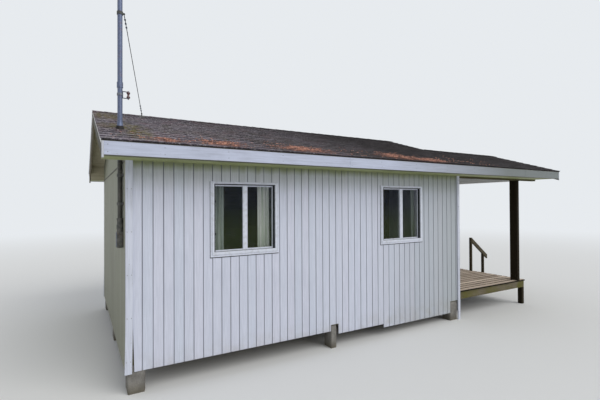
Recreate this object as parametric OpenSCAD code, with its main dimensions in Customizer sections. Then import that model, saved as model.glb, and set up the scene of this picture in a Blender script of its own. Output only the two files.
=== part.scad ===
/* [Cabin] */
// Length of the cabin along the ridge, over its corner boards
cabin_len = 4909; // [4200:1:6400]
// Depth of the cabin over its siding
cabin_depth = 3658; // [3200:1:4600]
// Height of the framed walls above the floor
wall_h = 2018; // [1990:1:2400]
// Thickness of the framed walls behind the siding
frame_t = 89; // [70:1:140]
// Thickness of the siding panels
siding_t = 16; // [10:1:22]
// Gap between the lowest ground and the lower edge of the siding at the porch end
siding_gap = 126; // [60:1:200]
// Lift of the siding's lower edge from the middle pier to a step
mid_lift = 48; // [0:1:80]
// Distance from the middle of the wall to that step
lift_off = 848; // [400:1:1800]
// Lift of the siding's lower edge from the left end to the middle pier
left_lift = 98; // [0:1:120]
// Width of the corner boards at the left end
left_corner_w = 66; // [50:1:120]
// Width of the corner boards at the porch end
right_corner_w = 50; // [30:1:80]
// Thickness of the corner boards, fascias and rake boards
trim_t = 19; // [12:1:25]

/* [Foundation] */
// Height of the concrete piers
pier_h = 290; // [260:1:400]
// Width of the piers at the corners
pier_w = 170; // [120:1:220]
// Width of the piers half way along the cabin
mid_pier_w = 94; // [80:1:200]
// Gap beside and over a pier where the siding is notched round it
pier_clear = 14; // [4:1:25]
// Depth of the floor joists
joist_d = 140; // [100:1:190]
// Thickness of the joists, rafters and rim boards
joist_t = 38; // [32:1:50]
// Largest spacing of the floor joists
joist_pitch = 610; // [400:1:700]
// Thickness of the floor boards
floor_t = 28; // [18:1:40]

/* [Windows] */
// Width of a window over its frame
window_w = 818; // [600:1:1000]
// Height of a window over its frame
window_h = 823; // [600:1:1000]
// Height of the windows above the floor
sill_h = 827; // [700:1:950]
// Distance of each window's centre from the middle of the wall
window_off = 1207; // [900:1:1400]
// Width of the window frame at its sides
frame_side = 42; // [32:1:60]
// Width of the window frame at its head
frame_head = 32; // [28:1:60]
// Width of the window frame at its sill
frame_sill = 54; // [32:1:70]
// How far the window frame stands proud of the siding
frame_proud = 14; // [6:1:25]
// How far the window frame laps the siding
frame_lap = 18; // [8:1:24]
// Width of the sash rails
sash_w = 12; // [10:1:40]
// Width of the meeting rails where two sashes overlap
meeting_w = 50; // [36:1:60]
// Thickness of a sash
sash_t = 20; // [14:1:26]
// Thickness of the glass
glass_t = 4; // [3:1:8]
// Diameter of the curtain rods
rod_d = 14; // [8:1:20]
// How far the curtain rods run on past the windows at each side
rod_tail = 60; // [30:1:120]
// Distance of the curtain rods from the wall
rod_off = 40; // [36:1:60]
// Height of the curtain rods above the windows
rod_rise = 50; // [20:1:80]
// Thickness of a hanging curtain with its folds
curtain_t = 44; // [20:1:60]
// How far the curtains hang below the windows
curtain_drop = 60; // [20:1:150]

/* [Door] */
// Width of the door leaf
door_w = 762; // [650:1:860]
// Distance from the top of the door leaf up to the top of the framed walls
door_drop = 126; // [100:1:300]
// Thickness of the door leaf
door_t = 40; // [32:1:45]
// Distance of the door's centre from the front of the cabin
door_off = 1080; // [800:1:1250]
// Width of the door casing
casing_w = 76; // [60:1:100]
// Thickness of the door jambs and casing
jamb_t = 19; // [15:1:25]
// Gap between the door leaf and its jambs
door_gap = 3; // [2:0.5:5]
// Diameter of the door knobs
knob_d = 54; // [44:1:62]

/* [Main roof] */
// Slope of both roofs in degrees
roof_pitch = 17.5; // [14:0.5:22]
// Reach of the eaves beyond the siding
eave_reach = 411; // [300:1:500]
// Reach of the rakes beyond the gable walls
rake_reach = 225; // [150:1:320]
// Thickness of the roof boards
board_t = 12; // [10:1:20]
// Thickness of the shingles
shingle_t = 10; // [6:1:14]
// How far the shingles overhang the fascias and rake boards
drip = 10; // [4:1:20]
// Depth of the rafters
rafter_d = 89; // [80:1:120]
// Depth of the notch where a rafter sits on its plate or beam
seat_cut = 25; // [15:1:30]
// Largest spacing of the rafters
rafter_pitch = 610; // [400:1:700]
// Depth of the ridge boards
ridge_d = 120; // [100:1:140]
// Thickness of the ridge boards
ridge_t = 25; // [19:1:38]
// Height of the fascia boards
fascia_h = 120; // [100:1:160]
// Height of the rake boards, square to the slope
rake_h = 140; // [110:1:160]
// Thickness of the soffit panels
soffit_t = 9; // [6:1:15]
// Width of each wing of the ridge caps, square to the ridge
cap_w = 130; // [90:1:180]
// Thickness of the ridge caps
cap_t = 5; // [3:1:8]

/* [Porch] */
// Reach of the porch deck from the end wall
porch_len = 1839; // [1500:1:2400]
// Depth of the porch deck along the end wall
porch_depth = 1829; // [1700:1:2000]
// Reach of the porch roof beyond the deck
porch_reach = 402; // [250:1:500]
// Width of a porch post along the ridge
post_w = 64; // [50:1:100]
// Depth of a porch post across the ridge
post_d = 140; // [80:1:160]
// Set-back of the porch posts from the deck's outer edge
post_back = 163; // [40:1:250]
// Thickness of the porch beams that carry the rafters
beam_t = 76; // [60:1:90]
// Height of the porch eave beams
beam_h = 205; // [180:1:240]
// Height of the white end beam
end_beam_h = 184; // [140:1:190]
// How far the end beam hangs below the eave beams
end_beam_drop = 13; // [5:1:40]

/* [Deck and stair] */
// Step down from the cabin floor to the deck
deck_step = 15; // [5:1:60]
// Thickness of the deck boards
deck_t = 25; // [20:1:38]
// How far the deck boards overhang the rim
deck_nose = 12; // [4:1:30]
// Depth of the deck rim and joists
rim_d = 112; // [90:1:140]
// Width of a deck leg
leg_w = 64; // [50:1:160]
// Thickness of a deck leg
leg_t = 80; // [50:1:160]
// Set-back of the deck legs from the face of the rim
leg_back = 0; // [0:1:60]
// Number of treads below the deck
tread_count = 1; // [1:1:2]
// Depth of each tread
tread_go = 270; // [230:1:300]
// Thickness of the treads
tread_t = 38; // [25:1:45]
// Clear width of the stair between its strings
stair_w = 578; // [400:1:640]
// Depth of the stair strings, measured upright
string_v = 250; // [200:1:300]
// Width of a handrail post
rail_post_w = 45; // [40:1:80]
// Height of the upper handrail posts above the deck
rail_h = 687; // [550:1:900]
// Distance from the deck to the middle of the lower handrail posts
rail_run = 370; // [280:1:420]
// How far the handrails run on past the lower posts
rail_tail = 134; // [30:1:200]
// Slope of the handrails in degrees
rail_pitch = 37; // [30:1:42]
// Height of the handrail boards, square to their slope
rail_d = 70; // [50:1:90]
// Thickness of the handrail boards
rail_t = 38; // [25:1:45]

/* [Service mast] */
// Outer diameter of the mast pipe
mast_d = 48; // [42:1:75]
// Distance of the mast from the front of the cabin
mast_off = 215; // [180:1:400]
// Gap between the mast pipe and the end wall
mast_gap = 5; // [4:1:20]
// Height of the conduit body's foot above the floor
mast_foot = 965; // [800:1:1100]
// Height of the mast pipe's top above the wall plates
mast_rise = 1560; // [1200:1:1800]
// Height of the conduit body below its hub
body_h = 170; // [120:1:220]
// Height of the conduit body's hub
hub_h = 130; // [80:1:160]
// Height of a strap on the mast
strap_h = 32; // [20:1:50]
// Distance from the hub up to the lower strap
strap_rise = 130; // [60:1:250]
// Distance from the soffit down to the upper strap
strap_drop = 150; // [60:1:300]
// Wall thickness of the hub, the collars and the bands round the mast
band_t = 6; // [4:1:10]
// Diameter of the stay wire
stay_d = 8; // [6:1:12]
// Height of the stay's band above the wall plates
stay_rise = 1337; // [1000:1:1450]
// Distance from the left end wall to the stay's anchor
anchor_off = 370; // [200:1:600]
// Distance from the edge of the ridge cap to the stay's anchor, measured level
anchor_back = 26; // [22:1:120]
// Height of the insulator's band above the wall plates
insulator_rise = 507; // [450:1:800]
// Reach of the insulator from the mast's axis
insulator_reach = 78; // [60:1:120]
// Length of the roof boot's plate on each side of the mast
boot_reach = 66; // [60:1:160]
// Height of the roof boot's collar
boot_h = 70; // [40:1:120]

/* [Hidden] */
$fn = 48;

// Clearance between pieces that are fitted together
fit = 0.3;
// Reach of a cutting solid past the face it cuts
past = 5;

white = "#dfe3e8";
shade_white = "#b9bdb2";
deck_grey = "#a3938a";
raw_timber = "#8a7350";
brown_timber = "#4a3826";
rail_grey = "#6d6257";
roof_grey = "#4c4644";
concrete = "#8e8a80";
zinc = "#8c9094";
dark_iron = "#3f4243";
clear_glass = "#2c3438";
cloth = "#e8e8e4";
porcelain = "#6b4a3a";

// The roof planes: underside of the rafters, underside and top of the roof boards and
// top of the shingles, each over a distance y behind the front of the cabin
slope = tan(roof_pitch);
drop = cos(roof_pitch);
rafter_v = rafter_d / drop;
board_v = board_t / drop;
shingle_v = shingle_t / drop;
cap_v = cap_t / drop;
rake_v = rake_h / drop;
floor_top = pier_h + joist_d + floor_t;
plate_top = floor_top + wall_h;
function under(y) = plate_top - seat_cut + (y - siding_t) * slope;
function lining(y) = under(y) + rafter_v;
function deck_line(y) = lining(y) + board_v;
function shingle_line(y) = deck_line(y) + shingle_v;

// Middles of the two roofs, and the ends of what lies along the ridge
mid = cabin_depth / 2;
porch_mid = porch_depth / 2;
roof_x0 = -rake_reach;
roof_x1 = cabin_len + rake_reach;
deck_x1 = cabin_len + porch_len;
porch_x1 = deck_x1 + porch_reach;
rail_x1 = deck_x1 + rail_run + rail_tail;
x_low = roof_x0 - drip;
x_high = max(porch_x1 + drip, rail_x1);

// Faces of the framed walls, and heights of the eaves and the siding's joint
frame_x0 = siding_t;
frame_x1 = cabin_len - siding_t;
wall_in = siding_t + frame_t;
eave_y = -eave_reach;
fascia_top = lining(eave_y);
fascia_foot = fascia_top - fascia_h;
soffit_lift = 3;
soffit_z = fascia_foot + soffit_lift;
siding_top = under(0);
joint_z = soffit_z + 1;
flashing_t = 3;
flashing_out = 4;

// Heights of the deck
deck_top = floor_top - deck_step;
rim_top = deck_top - deck_t;
rim_foot = rim_top - rim_d;

// Windows: centres along the wall, lower edge, and the clear opening inside the frame
window_z = floor_top + sill_h;
window_x = [cabin_len / 2 - window_off, cabin_len / 2 + window_off];
clear_x = window_w / 2 - frame_side;
clear_z0 = window_z + frame_sill;
clear_z1 = window_z + window_h - frame_head;

// Door: opening in the end wall, and the planes of the leaf
door_y0 = door_off - door_w / 2;
door_y1 = door_off + door_w / 2;
opening_y0 = door_y0 - jamb_t - door_gap;
opening_y1 = door_y1 + jamb_t + door_gap;
threshold_t = 12;
door_z = floor_top + threshold_t + fit;
door_h = plate_top - door_drop - door_z;
opening_z = door_z + door_h + door_gap + jamb_t;
leaf_x1 = cabin_len + jamb_t;
leaf_x0 = leaf_x1 - door_t;

// Posts, beams and legs of the porch
post_x1 = deck_x1 - post_back;
post_x0 = post_x1 - post_w;
beam_top = under(0) + seat_cut;
beam_foot = beam_top - beam_h;
end_beam_x1 = post_x1 - (post_w - joist_t) / 2;
end_beam_foot = beam_foot - end_beam_drop;
end_beam_top = end_beam_foot + end_beam_h;

// Stair: height of one step, its slope, and the faces of its parts across the stair
rise = deck_top / (tread_count + 1);
stair_slope = rise / tread_go;
far_post_y = porch_depth - rail_post_w;
far_string_y = far_post_y - joist_t;
near_string_y = far_string_y - stair_w - joist_t;
near_post_y = near_string_y - rail_post_w;
rail_slope = tan(rail_pitch);
rail_v = rail_d / cos(rail_pitch);
post_stub = 5;
rail_top = deck_top + rail_h - post_stub;

// Mast: its axis, the height where the pipe starts in its hub, and its top
mast_x = -mast_d / 2 - mast_gap;
body_z = floor_top + mast_foot;
socket_floor = 10;
mast_z0 = body_z + body_h + socket_floor;
mast_z1 = plate_top + mast_rise;

// A box between two values on each axis
module block(x0, x1, y0, y1, z0, z1) {
    translate([x0, y0, z0]) cube([x1 - x0, y1 - y0, z1 - z0]);
}

// Runs a profile drawn over y and z along the ridge from x0 to x1
module along(x0, x1) {
    translate([x0, 0, 0]) rotate([90, 0, 90]) linear_extrude(x1 - x0) children();
}

// Runs a profile drawn over x and z across the ridge from y0 to y1
module across(y0, y1) {
    translate([0, y1, 0]) rotate([90, 0, 0]) linear_extrude(y1 - y0) children();
}

// Keeps a shape and adds its mirror image across the plane y = at
module both_sides(at) {
    children();
    translate([0, 2 * at, 0]) mirror([0, 1, 0]) children();
}

// Evenly spaced places from a to b, no further apart than a given pitch
function places(a, b, pitch) = let (n = ceil((b - a) / pitch)) [for (i = [0 : n]) a + (b - a) * i / n];

// A layer of the front slope from y0 to y1: low and high are its heights over y = 0
module slope_layer(y0, y1, low, high) {
    polygon([[y0, low + y0 * slope], [y1, low + y1 * slope],
        [y1, high + y1 * slope], [y0, high + y0 * slope]]);
}

// One rafter with plumb ends and a seat cut over the plate or beam whose face is at heel
module rafter_profile(heel, ridge_y) {
    tail = eave_y + trim_t;
    seat = under(heel) + seat_cut;
    polygon([[tail, under(tail)], [heel, under(heel)], [heel, seat],
        [heel + seat_cut / slope, seat], [ridge_y, under(ridge_y)],
        [ridge_y, lining(ridge_y)], [tail, lining(tail)]]);
}

// Piers stand in three rows of three; the left ones are set in behind the siding
pier_spots = [
    [siding_t, pier_w, siding_t],
    [(cabin_len - mid_pier_w) / 2, mid_pier_w, 0],
    [cabin_len - right_corner_w - pier_w, pier_w, 0]
];

module piers() {
    color(concrete)
        for (spot = pier_spots) {
            both_sides(mid) block(spot[0], spot[0] + spot[1], spot[2], spot[2] + pier_w, 0, pier_h);
            block(spot[0], spot[0] + spot[1], mid - pier_w / 2, mid + pier_w / 2, 0, pier_h);
        }
}

// A rim along each long wall and a doubled beam down the middle
module floor_beams() {
    color(raw_timber) {
        both_sides(mid) block(frame_x0, frame_x1, siding_t, siding_t + joist_t,
            pier_h, pier_h + joist_d);
        block(frame_x0, frame_x1, mid - joist_t, mid + joist_t, pier_h, pier_h + joist_d);
    }
}

module floor_joists() {
    color(raw_timber)
        for (x = places(frame_x0, frame_x1 - joist_t, joist_pitch))
            both_sides(mid) block(x, x + joist_t, siding_t + joist_t + fit, mid - joist_t - fit,
                pier_h, pier_h + joist_d);
}

module floor() {
    color(raw_timber)
        block(frame_x0, frame_x1, siding_t, cabin_depth - siding_t, pier_h + joist_d, floor_top);
}

// Square holes for the two windows of a long wall, from y0 to y1
module window_holes(y0, y1) {
    half = window_w / 2 - frame_lap;
    for (x = window_x)
        block(x - half, x + half, y0, y1, window_z + frame_lap, window_z + window_h - frame_lap);
}

module front_wall() {
    color(raw_timber)
        difference() {
            block(frame_x0, frame_x1, siding_t, wall_in, floor_top, plate_top);
            window_holes(siding_t - past, wall_in + past);
        }
}

module back_wall() {
    translate([0, cabin_depth, 0]) mirror([0, 1, 0]) front_wall();
}

// Outline of a stretch of end wall from y0 to y1, from z0 up to the roof boards
module end_wall_profile(y0, y1, z0) {
    gable = y0 < mid && y1 > mid ? [[mid, lining(mid)]] : [];
    far_top = y1 > mid ? lining(cabin_depth - y1) : lining(y1);
    near_top = y0 > mid ? lining(cabin_depth - y0) : lining(y0);
    polygon(concat([[y0, z0], [y1, z0], [y1, far_top]], gable, [[y0, near_top]]));
}

module left_wall() {
    color(raw_timber)
        along(frame_x0, wall_in) end_wall_profile(wall_in, cabin_depth - wall_in, floor_top);
}

module right_wall_front() {
    color(raw_timber)
        along(cabin_len - wall_in, frame_x1) end_wall_profile(wall_in, opening_y0, floor_top);
}

module right_wall_back() {
    color(raw_timber)
        along(cabin_len - wall_in, frame_x1)
            end_wall_profile(opening_y1, cabin_depth - wall_in, floor_top);
}

module right_wall_over_door() {
    color(raw_timber)
        along(cabin_len - wall_in, frame_x1) end_wall_profile(opening_y0, opening_y1, opening_z);
}

// Height of the siding's lower edge at the left end
left_foot = siding_gap + left_lift;

// Siding of a long wall, stepped at its foot and notched round the piers in its plane
module front_siding() {
    color(white)
        difference() {
            block(0, cabin_len, 0, siding_t, siding_gap, siding_top);
            block(-past, pier_spots[1][0], -past, siding_t + past, siding_gap - past, left_foot);
            block(pier_spots[1][0], cabin_len / 2 + lift_off, -past, siding_t + past,
                siding_gap - past, siding_gap + mid_lift);
            for (spot = pier_spots)
                if (spot[2] < siding_t)
                    block(spot[0] - fit, spot[0] + spot[1] + pier_clear * 2, -past, siding_t + past,
                        siding_gap - past, pier_h + pier_clear);
            window_holes(-past, siding_t + past);
        }
}

module back_siding() {
    translate([0, cabin_depth, 0]) mirror([0, 1, 0]) front_siding();
}

module left_siding() {
    color(shade_white)
        block(0, siding_t, siding_t, cabin_depth - siding_t, left_foot, joint_z);
}

module right_siding() {
    color(shade_white)
        difference() {
            block(frame_x1, cabin_len, siding_t, cabin_depth - siding_t, siding_gap, joint_z);
            block(frame_x1 - past, cabin_len + past, opening_y0, opening_y1, floor_top, joint_z + past);
        }
}

// Gable panel from the flashed joint up to the roof boards
module gable_profile() {
    foot = joint_z + flashing_t;
    polygon([[siding_t, foot], [cabin_depth - siding_t, foot],
        [cabin_depth - siding_t, lining(siding_t)], [mid, lining(mid)], [siding_t, lining(siding_t)]]);
}

module gable_siding() {
    color(shade_white) {
        along(0, siding_t) gable_profile();
        difference() {
            along(frame_x1, cabin_len) gable_profile();
            block(frame_x1 - past, cabin_len + past, opening_y0, opening_y1, joint_z, opening_z);
        }
    }
}

module gable_flashings() {
    color(zinc) {
        block(-flashing_out, siding_t, siding_t, cabin_depth - siding_t, joint_z, joint_z + flashing_t);
        for (span = [[beam_t, opening_y0 - casing_w], [opening_y1 + casing_w, porch_depth - beam_t],
                [porch_depth + eave_reach, cabin_depth - siding_t]])
            block(frame_x1, cabin_len + flashing_out, span[0], span[1], joint_z, joint_z + flashing_t);
    }
}

// The boards at the porch end stand on the ground, the left ones end just below the siding
module corner_boards() {
    color(white)
        both_sides(mid) {
            block(0, left_corner_w, -trim_t, 0, left_foot - trim_t / 2, soffit_z);
            block(cabin_len - right_corner_w, cabin_len, -trim_t, 0, 0, soffit_z);
        }
}

// A window's flanged frame, centred on x = 0 with the wall's face at y = 0
module window_frame() {
    half = window_w / 2;
    difference() {
        union() {
            block(-half, half, -frame_proud, 0, window_z, window_z + window_h);
            block(-half + frame_lap + fit, half - frame_lap - fit, -frame_proud, wall_in,
                window_z + frame_lap + fit, window_z + window_h - frame_lap - fit);
        }
        block(-clear_x, clear_x, -frame_proud - past, wall_in + past, clear_z0, clear_z1);
    }
}

// The two sliding sashes fill the frame's clear opening, one behind the other
sash_set = 10;
sash_x = [[-clear_x, meeting_w / 2], [-meeting_w / 2, clear_x]];
sash_y = [sash_set, sash_set + sash_t + fit];
function pane_x(i) = i == 0 ? [sash_x[0][0] + sash_w, sash_x[0][1] - meeting_w]
    : [sash_x[1][0] + meeting_w, sash_x[1][1] - sash_w];

module window_sash(i) {
    difference() {
        block(sash_x[i][0], sash_x[i][1], sash_y[i], sash_y[i] + sash_t, clear_z0, clear_z1 - fit);
        block(pane_x(i)[0], pane_x(i)[1], sash_y[i] - past, sash_y[i] + sash_t + past,
            clear_z0 + sash_w, clear_z1 - sash_w);
    }
}

module window_pane(i) {
    y = sash_y[i] + (sash_t - glass_t) / 2;
    block(pane_x(i)[0], pane_x(i)[1], y, y + glass_t, clear_z0 + sash_w, clear_z1 - sash_w);
}

// Two windows in the front wall and two in the back wall
module at_windows() {
    both_sides(mid) for (x = window_x) translate([x, 0, 0]) children();
}

module window_frames() {
    color(white) at_windows() window_frame();
}

module window_sashes() {
    color(white) at_windows() for (i = [0, 1]) window_sash(i);
}

module window_glass() {
    color(clear_glass) at_windows() for (i = [0, 1]) window_pane(i);
}

// Curtain rods on two brackets each, inside the front wall
rod_y = wall_in + rod_off;
rod_z = window_z + window_h + rod_rise;
rod_half = window_w / 2 + rod_tail;
bracket_t = 12;

module curtain_rods() {
    color(dark_iron)
        for (x = window_x) translate([x, 0, 0]) {
            translate([-rod_half, rod_y, rod_z]) rotate([0, 90, 0])
                cylinder(h = 2 * rod_half, d = rod_d);
            for (side = [-1, 1])
                translate([side * (rod_half - bracket_t), 0, 0])
                    block(-bracket_t / 2, bracket_t / 2, wall_in, rod_y,
                        rod_z - rod_d / 2, rod_z + rod_d / 2);
        }
}

// Gathered curtains hang from the rods: window, and span from that window's centre
curtain_spans = [[0, -350, -205], [0, 205, 400], [1, 330, 400]];
curtain_foot = window_z - curtain_drop;

module curtains() {
    color(cloth)
        for (span = curtain_spans)
            translate([window_x[span[0]], 0, 0])
                block(span[1], span[2], rod_y - curtain_t / 2, rod_y + curtain_t / 2,
                    curtain_foot, rod_z - rod_d / 2 - fit);
}

// Jambs, head, threshold and outer casing of the door
module door_frame() {
    wall_x = cabin_len - wall_in;
    color(white)
        difference() {
            union() {
                block(wall_x, cabin_len, opening_y0, opening_y1, floor_top, opening_z);
                block(cabin_len, cabin_len + jamb_t, opening_y0 - casing_w, opening_y1 + casing_w,
                    deck_top, opening_z + casing_w);
            }
            block(wall_x - past, cabin_len + jamb_t + past, opening_y0 + jamb_t, opening_y1 - jamb_t,
                floor_top + threshold_t, opening_z - jamb_t);
            block(cabin_len, cabin_len + jamb_t + past, opening_y0 + jamb_t, opening_y1 - jamb_t,
                deck_top - past, floor_top + threshold_t + fit);
        }
}

module door_leaf() {
    color(white) block(leaf_x0, leaf_x1, door_y0, door_y1, door_z, door_z + door_h);
}

// Three hinges fill the gap between the leaf's edge and the jamb
module door_hinges() {
    knuckle_r = 6;
    hinge_h = 90;
    hinge_parts = [0.12, 0.5, 0.88];
    color(zinc)
        for (part = hinge_parts)
            translate([0, 0, door_z + door_h * part - hinge_h / 2]) {
                block(leaf_x0, leaf_x1 + knuckle_r, door_y1 + fit, door_y1 + door_gap - fit, 0, hinge_h);
                translate([leaf_x1 + knuckle_r + fit, door_y1 + door_gap / 2, 0])
                    cylinder(h = hinge_h, r = knuckle_r);
            }
}

// A knob on each side of the leaf, turned round an axis along x
module knob() {
    neck = 11;
    rose = 28;
    r = knob_d / 2;
    profile = [[0, 0], [rose, 0], [rose, 5], [neck, 9], [neck, 30], [r - 6, 36], [r, 46],
        [r - 3, 56], [r - 12, 62], [0, 64]];
    rotate([0, 90, 0]) rotate_extrude() polygon(profile);
}

module door_knobs() {
    backset = 65;
    knob_z = door_z + door_h / 2 - 30;
    color(zinc)
        translate([0, door_y0 + backset, knob_z]) {
            translate([leaf_x1, 0, 0]) knob();
            translate([leaf_x0, 0, 0]) mirror([1, 0, 0]) knob();
        }
}

module rafters() {
    color(raw_timber)
        for (x = places(wall_in, cabin_len - wall_in - joist_t, rafter_pitch))
            both_sides(mid) along(x, x + joist_t) rafter_profile(siding_t, mid - ridge_t / 2);
}

// The porch ridge board runs on to the porch's rake boards, the main one ends at the gables
module ridge_boards() {
    color(raw_timber) {
        block(wall_in, cabin_len - wall_in, mid - ridge_t / 2, mid + ridge_t / 2,
            lining(mid - ridge_t / 2) - ridge_d, lining(mid - ridge_t / 2));
        block(cabin_len, porch_x1 - trim_t, porch_mid - ridge_t / 2, porch_mid + ridge_t / 2,
            lining(porch_mid - ridge_t / 2) - ridge_d, lining(porch_mid - ridge_t / 2));
    }
}

module roof_boards() {
    color(raw_timber)
        difference() {
            both_sides(mid) along(roof_x0, roof_x1)
                slope_layer(eave_y, mid - fit / 2, lining(0), deck_line(0));
            mast_hole(lining(0));
        }
}

// Upright hole for the mast pipe through the roof, from a given height upwards
module mast_hole(z) {
    translate([mast_x, mast_off, z]) cylinder(h = mast_z1 - z, d = mast_d + 4 * fit);
}

// Where the main rake at the porch end starts, above the lower porch roof
rake_start = porch_mid + (board_v + shingle_v + fit) / (2 * slope);
rake_foot = porch_mid + (board_v + shingle_v + rake_v + fit) / (2 * slope);

module shingles() {
    color(roof_grey) {
        difference() {
            both_sides(mid) along(roof_x0 - drip, roof_x1)
                slope_layer(eave_y - drip, mid - fit / 2, deck_line(0), shingle_line(0));
            mast_hole(lining(0));
        }
        along(roof_x1, roof_x1 + drip)
            slope_layer(rake_start, mid - fit / 2, deck_line(0), shingle_line(0));
        translate([0, cabin_depth, 0]) mirror([0, 1, 0])
            along(roof_x1, roof_x1 + drip)
                slope_layer(eave_y - drip, mid - fit / 2, deck_line(0), shingle_line(0));
    }
}

// Folded cap over a ridge at y = at
module cap(x0, x1, at) {
    wing = cap_w * drop;
    along(x0, x1)
        polygon([[at - wing, shingle_line(at - wing)], [at, shingle_line(at)],
            [at + wing, shingle_line(at - wing)], [at + wing, shingle_line(at - wing) + cap_v],
            [at, shingle_line(at) + cap_v], [at - wing, shingle_line(at - wing) + cap_v]]);
}

module ridge_caps() {
    color(roof_grey) {
        cap(roof_x0 - drip, roof_x1 + drip, mid);
        cap(roof_x1 + drip + fit, porch_x1 + drip, porch_mid);
    }
}

// Front fascia along both roofs, back fascia of the main roof, back fascia of the porch
module fascias() {
    y_back = cabin_depth + eave_reach;
    porch_back = porch_depth + eave_reach;
    color(white) {
        block(roof_x0 + trim_t, porch_x1 - trim_t, eave_y, eave_y + trim_t, fascia_foot, fascia_top);
        block(roof_x0 + trim_t, roof_x1 - trim_t, y_back - trim_t, y_back, fascia_foot, fascia_top);
        block(cabin_len, porch_x1 - trim_t, porch_back - trim_t, porch_back, fascia_foot, fascia_top);
    }
}

// A rake board under the front slope, from the eave to a ridge at y = at
module rake_board(x, at) {
    along(x, x + trim_t)
        slope_layer(eave_y, at - fit / 2, lining(0) - rake_v, lining(0));
}

module rake_boards() {
    x_main = roof_x1 - trim_t;
    color(white) {
        both_sides(mid) rake_board(roof_x0, mid);
        translate([0, cabin_depth, 0]) mirror([0, 1, 0]) rake_board(x_main, mid);
        along(x_main, roof_x1)
            polygon([[rake_start, lining(rake_start)], [mid - fit / 2, lining(mid - fit / 2)],
                [mid - fit / 2, lining(mid - fit / 2) - rake_v],
                [rake_foot, lining(rake_foot) - rake_v]]);
        both_sides(porch_mid) rake_board(porch_x1 - trim_t, porch_mid);
    }
}

// Level soffits between the fascias and the walls or porch beams
module soffits() {
    y0 = eave_y + trim_t;
    color(white) {
        block(roof_x0 + trim_t, porch_x1 - trim_t, y0, 0, soffit_z, soffit_z + soffit_t);
        block(roof_x0 + trim_t, roof_x1 - trim_t, cabin_depth, cabin_depth - y0,
            soffit_z, soffit_z + soffit_t);
        block(cabin_len, porch_x1 - trim_t, porch_depth, porch_depth - y0,
            soffit_z, soffit_z + soffit_t);
    }
}

porch_rafter_x = concat(places(cabin_len, end_beam_x1 - joist_t - siding_t * 3, rafter_pitch),
    [porch_x1 - trim_t - joist_t]);

module porch_rafters() {
    color(brown_timber)
        for (x = porch_rafter_x)
            both_sides(porch_mid) along(x, x + joist_t) rafter_profile(0, porch_mid - ridge_t / 2);
}

// Room under the main roof boards where the two roofs run into each other
module under_main_roof() {
    y0 = porch_mid - past;
    along(cabin_len - past, roof_x1 + fit)
        polygon([[y0, lining(y0) - fit], [mid, lining(mid) - fit],
            [mid, lining(mid) * 2], [y0, lining(mid) * 2]]);
}

module porch_back_layer(x1, y0, low, high) {
    difference() {
        translate([0, porch_depth, 0]) mirror([0, 1, 0])
            along(cabin_len, x1) slope_layer(y0, porch_mid - fit / 2, low, high);
        under_main_roof();
    }
}

module porch_roof_boards() {
    color(raw_timber) {
        along(roof_x1, porch_x1)
            slope_layer(eave_y, porch_mid - fit / 2, lining(0), deck_line(0));
        porch_back_layer(porch_x1, eave_y, lining(0), deck_line(0));
    }
}

module porch_shingles() {
    color(roof_grey) {
        along(roof_x1, porch_x1 + drip)
            slope_layer(eave_y - drip, porch_mid - fit / 2, deck_line(0), shingle_line(0));
        porch_back_layer(porch_x1 + drip, eave_y - drip, deck_line(0), shingle_line(0));
    }
}

// White gable panel over the end beam, slotted for the ridge board
module porch_gable() {
    y1 = porch_depth - beam_t;
    slot = ridge_t / 2 + fit;
    color(white)
        difference() {
            along(end_beam_x1 - siding_t, end_beam_x1)
                polygon([[beam_t, end_beam_top], [y1, end_beam_top], [y1, lining(beam_t)],
                    [porch_mid, lining(porch_mid)], [beam_t, lining(beam_t)]]);
            block(end_beam_x1 - siding_t - past, end_beam_x1 + past, porch_mid - slot, porch_mid + slot,
                lining(porch_mid) - ridge_d - slot * slope - fit, lining(porch_mid) + past);
        }
}

// Two eave beams with the white end beam between the posts
module porch_beams() {
    color(brown_timber) {
        both_sides(porch_mid) block(cabin_len, porch_x1 - trim_t, 0, beam_t, beam_foot, beam_top);
        block(end_beam_x1 - joist_t, end_beam_x1, post_d, porch_depth - post_d,
            end_beam_foot, end_beam_top);
    }
}

// Posts stand on the deck, each notched at its head for an eave beam
module porch_posts() {
    color(brown_timber)
        both_sides(porch_mid) along(post_x0, post_x1)
            polygon([[0, deck_top], [post_d, deck_top], [post_d, end_beam_top], [beam_t, end_beam_top],
                [beam_t, beam_foot], [0, beam_foot]]);
}

module deck_boards() {
    color(deck_grey) block(cabin_len, deck_x1, 0, porch_depth, rim_top, deck_top);
}

module deck_frame() {
    x1 = deck_x1 - deck_nose;
    y1 = porch_depth - deck_nose;
    color(deck_grey) {
        both_sides(porch_mid)
            block(cabin_len, x1, deck_nose, deck_nose + joist_t, rim_foot, rim_top);
        for (x = places(cabin_len, x1 - joist_t, joist_pitch))
            block(x, x + joist_t, deck_nose, y1, rim_foot, rim_top);
    }
}

// Legs under the outer corners of the deck
module deck_legs() {
    x1 = deck_x1 - deck_nose - leg_back;
    color(deck_grey)
        both_sides(porch_mid)
            block(x1 - leg_w, x1, deck_nose, deck_nose + leg_t, 0, rim_foot);
}

// Sloping strings from the deck's rim to the ground, with treads housed between them
module stair_strings() {
    x0 = deck_x1 - deck_nose;
    top_z = rim_top;
    toe = 60;
    toe_x = x0 + (top_z - toe) / stair_slope;
    heel_x = x0 + (top_z - string_v) / stair_slope;
    color(deck_grey)
        for (y = [near_string_y, far_string_y])
            across(y, y + joist_t)
                polygon([[x0, top_z], [toe_x, toe], [toe_x, 0], [heel_x, 0], [x0, top_z - string_v]]);
}

module stair_treads() {
    color(deck_grey)
        for (i = [1 : tread_count])
            block(deck_x1 + (i - 1) * tread_go + deck_nose, deck_x1 + i * tread_go,
                near_string_y + joist_t, far_string_y, deck_top - i * rise - tread_t, deck_top - i * rise);
}

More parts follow.
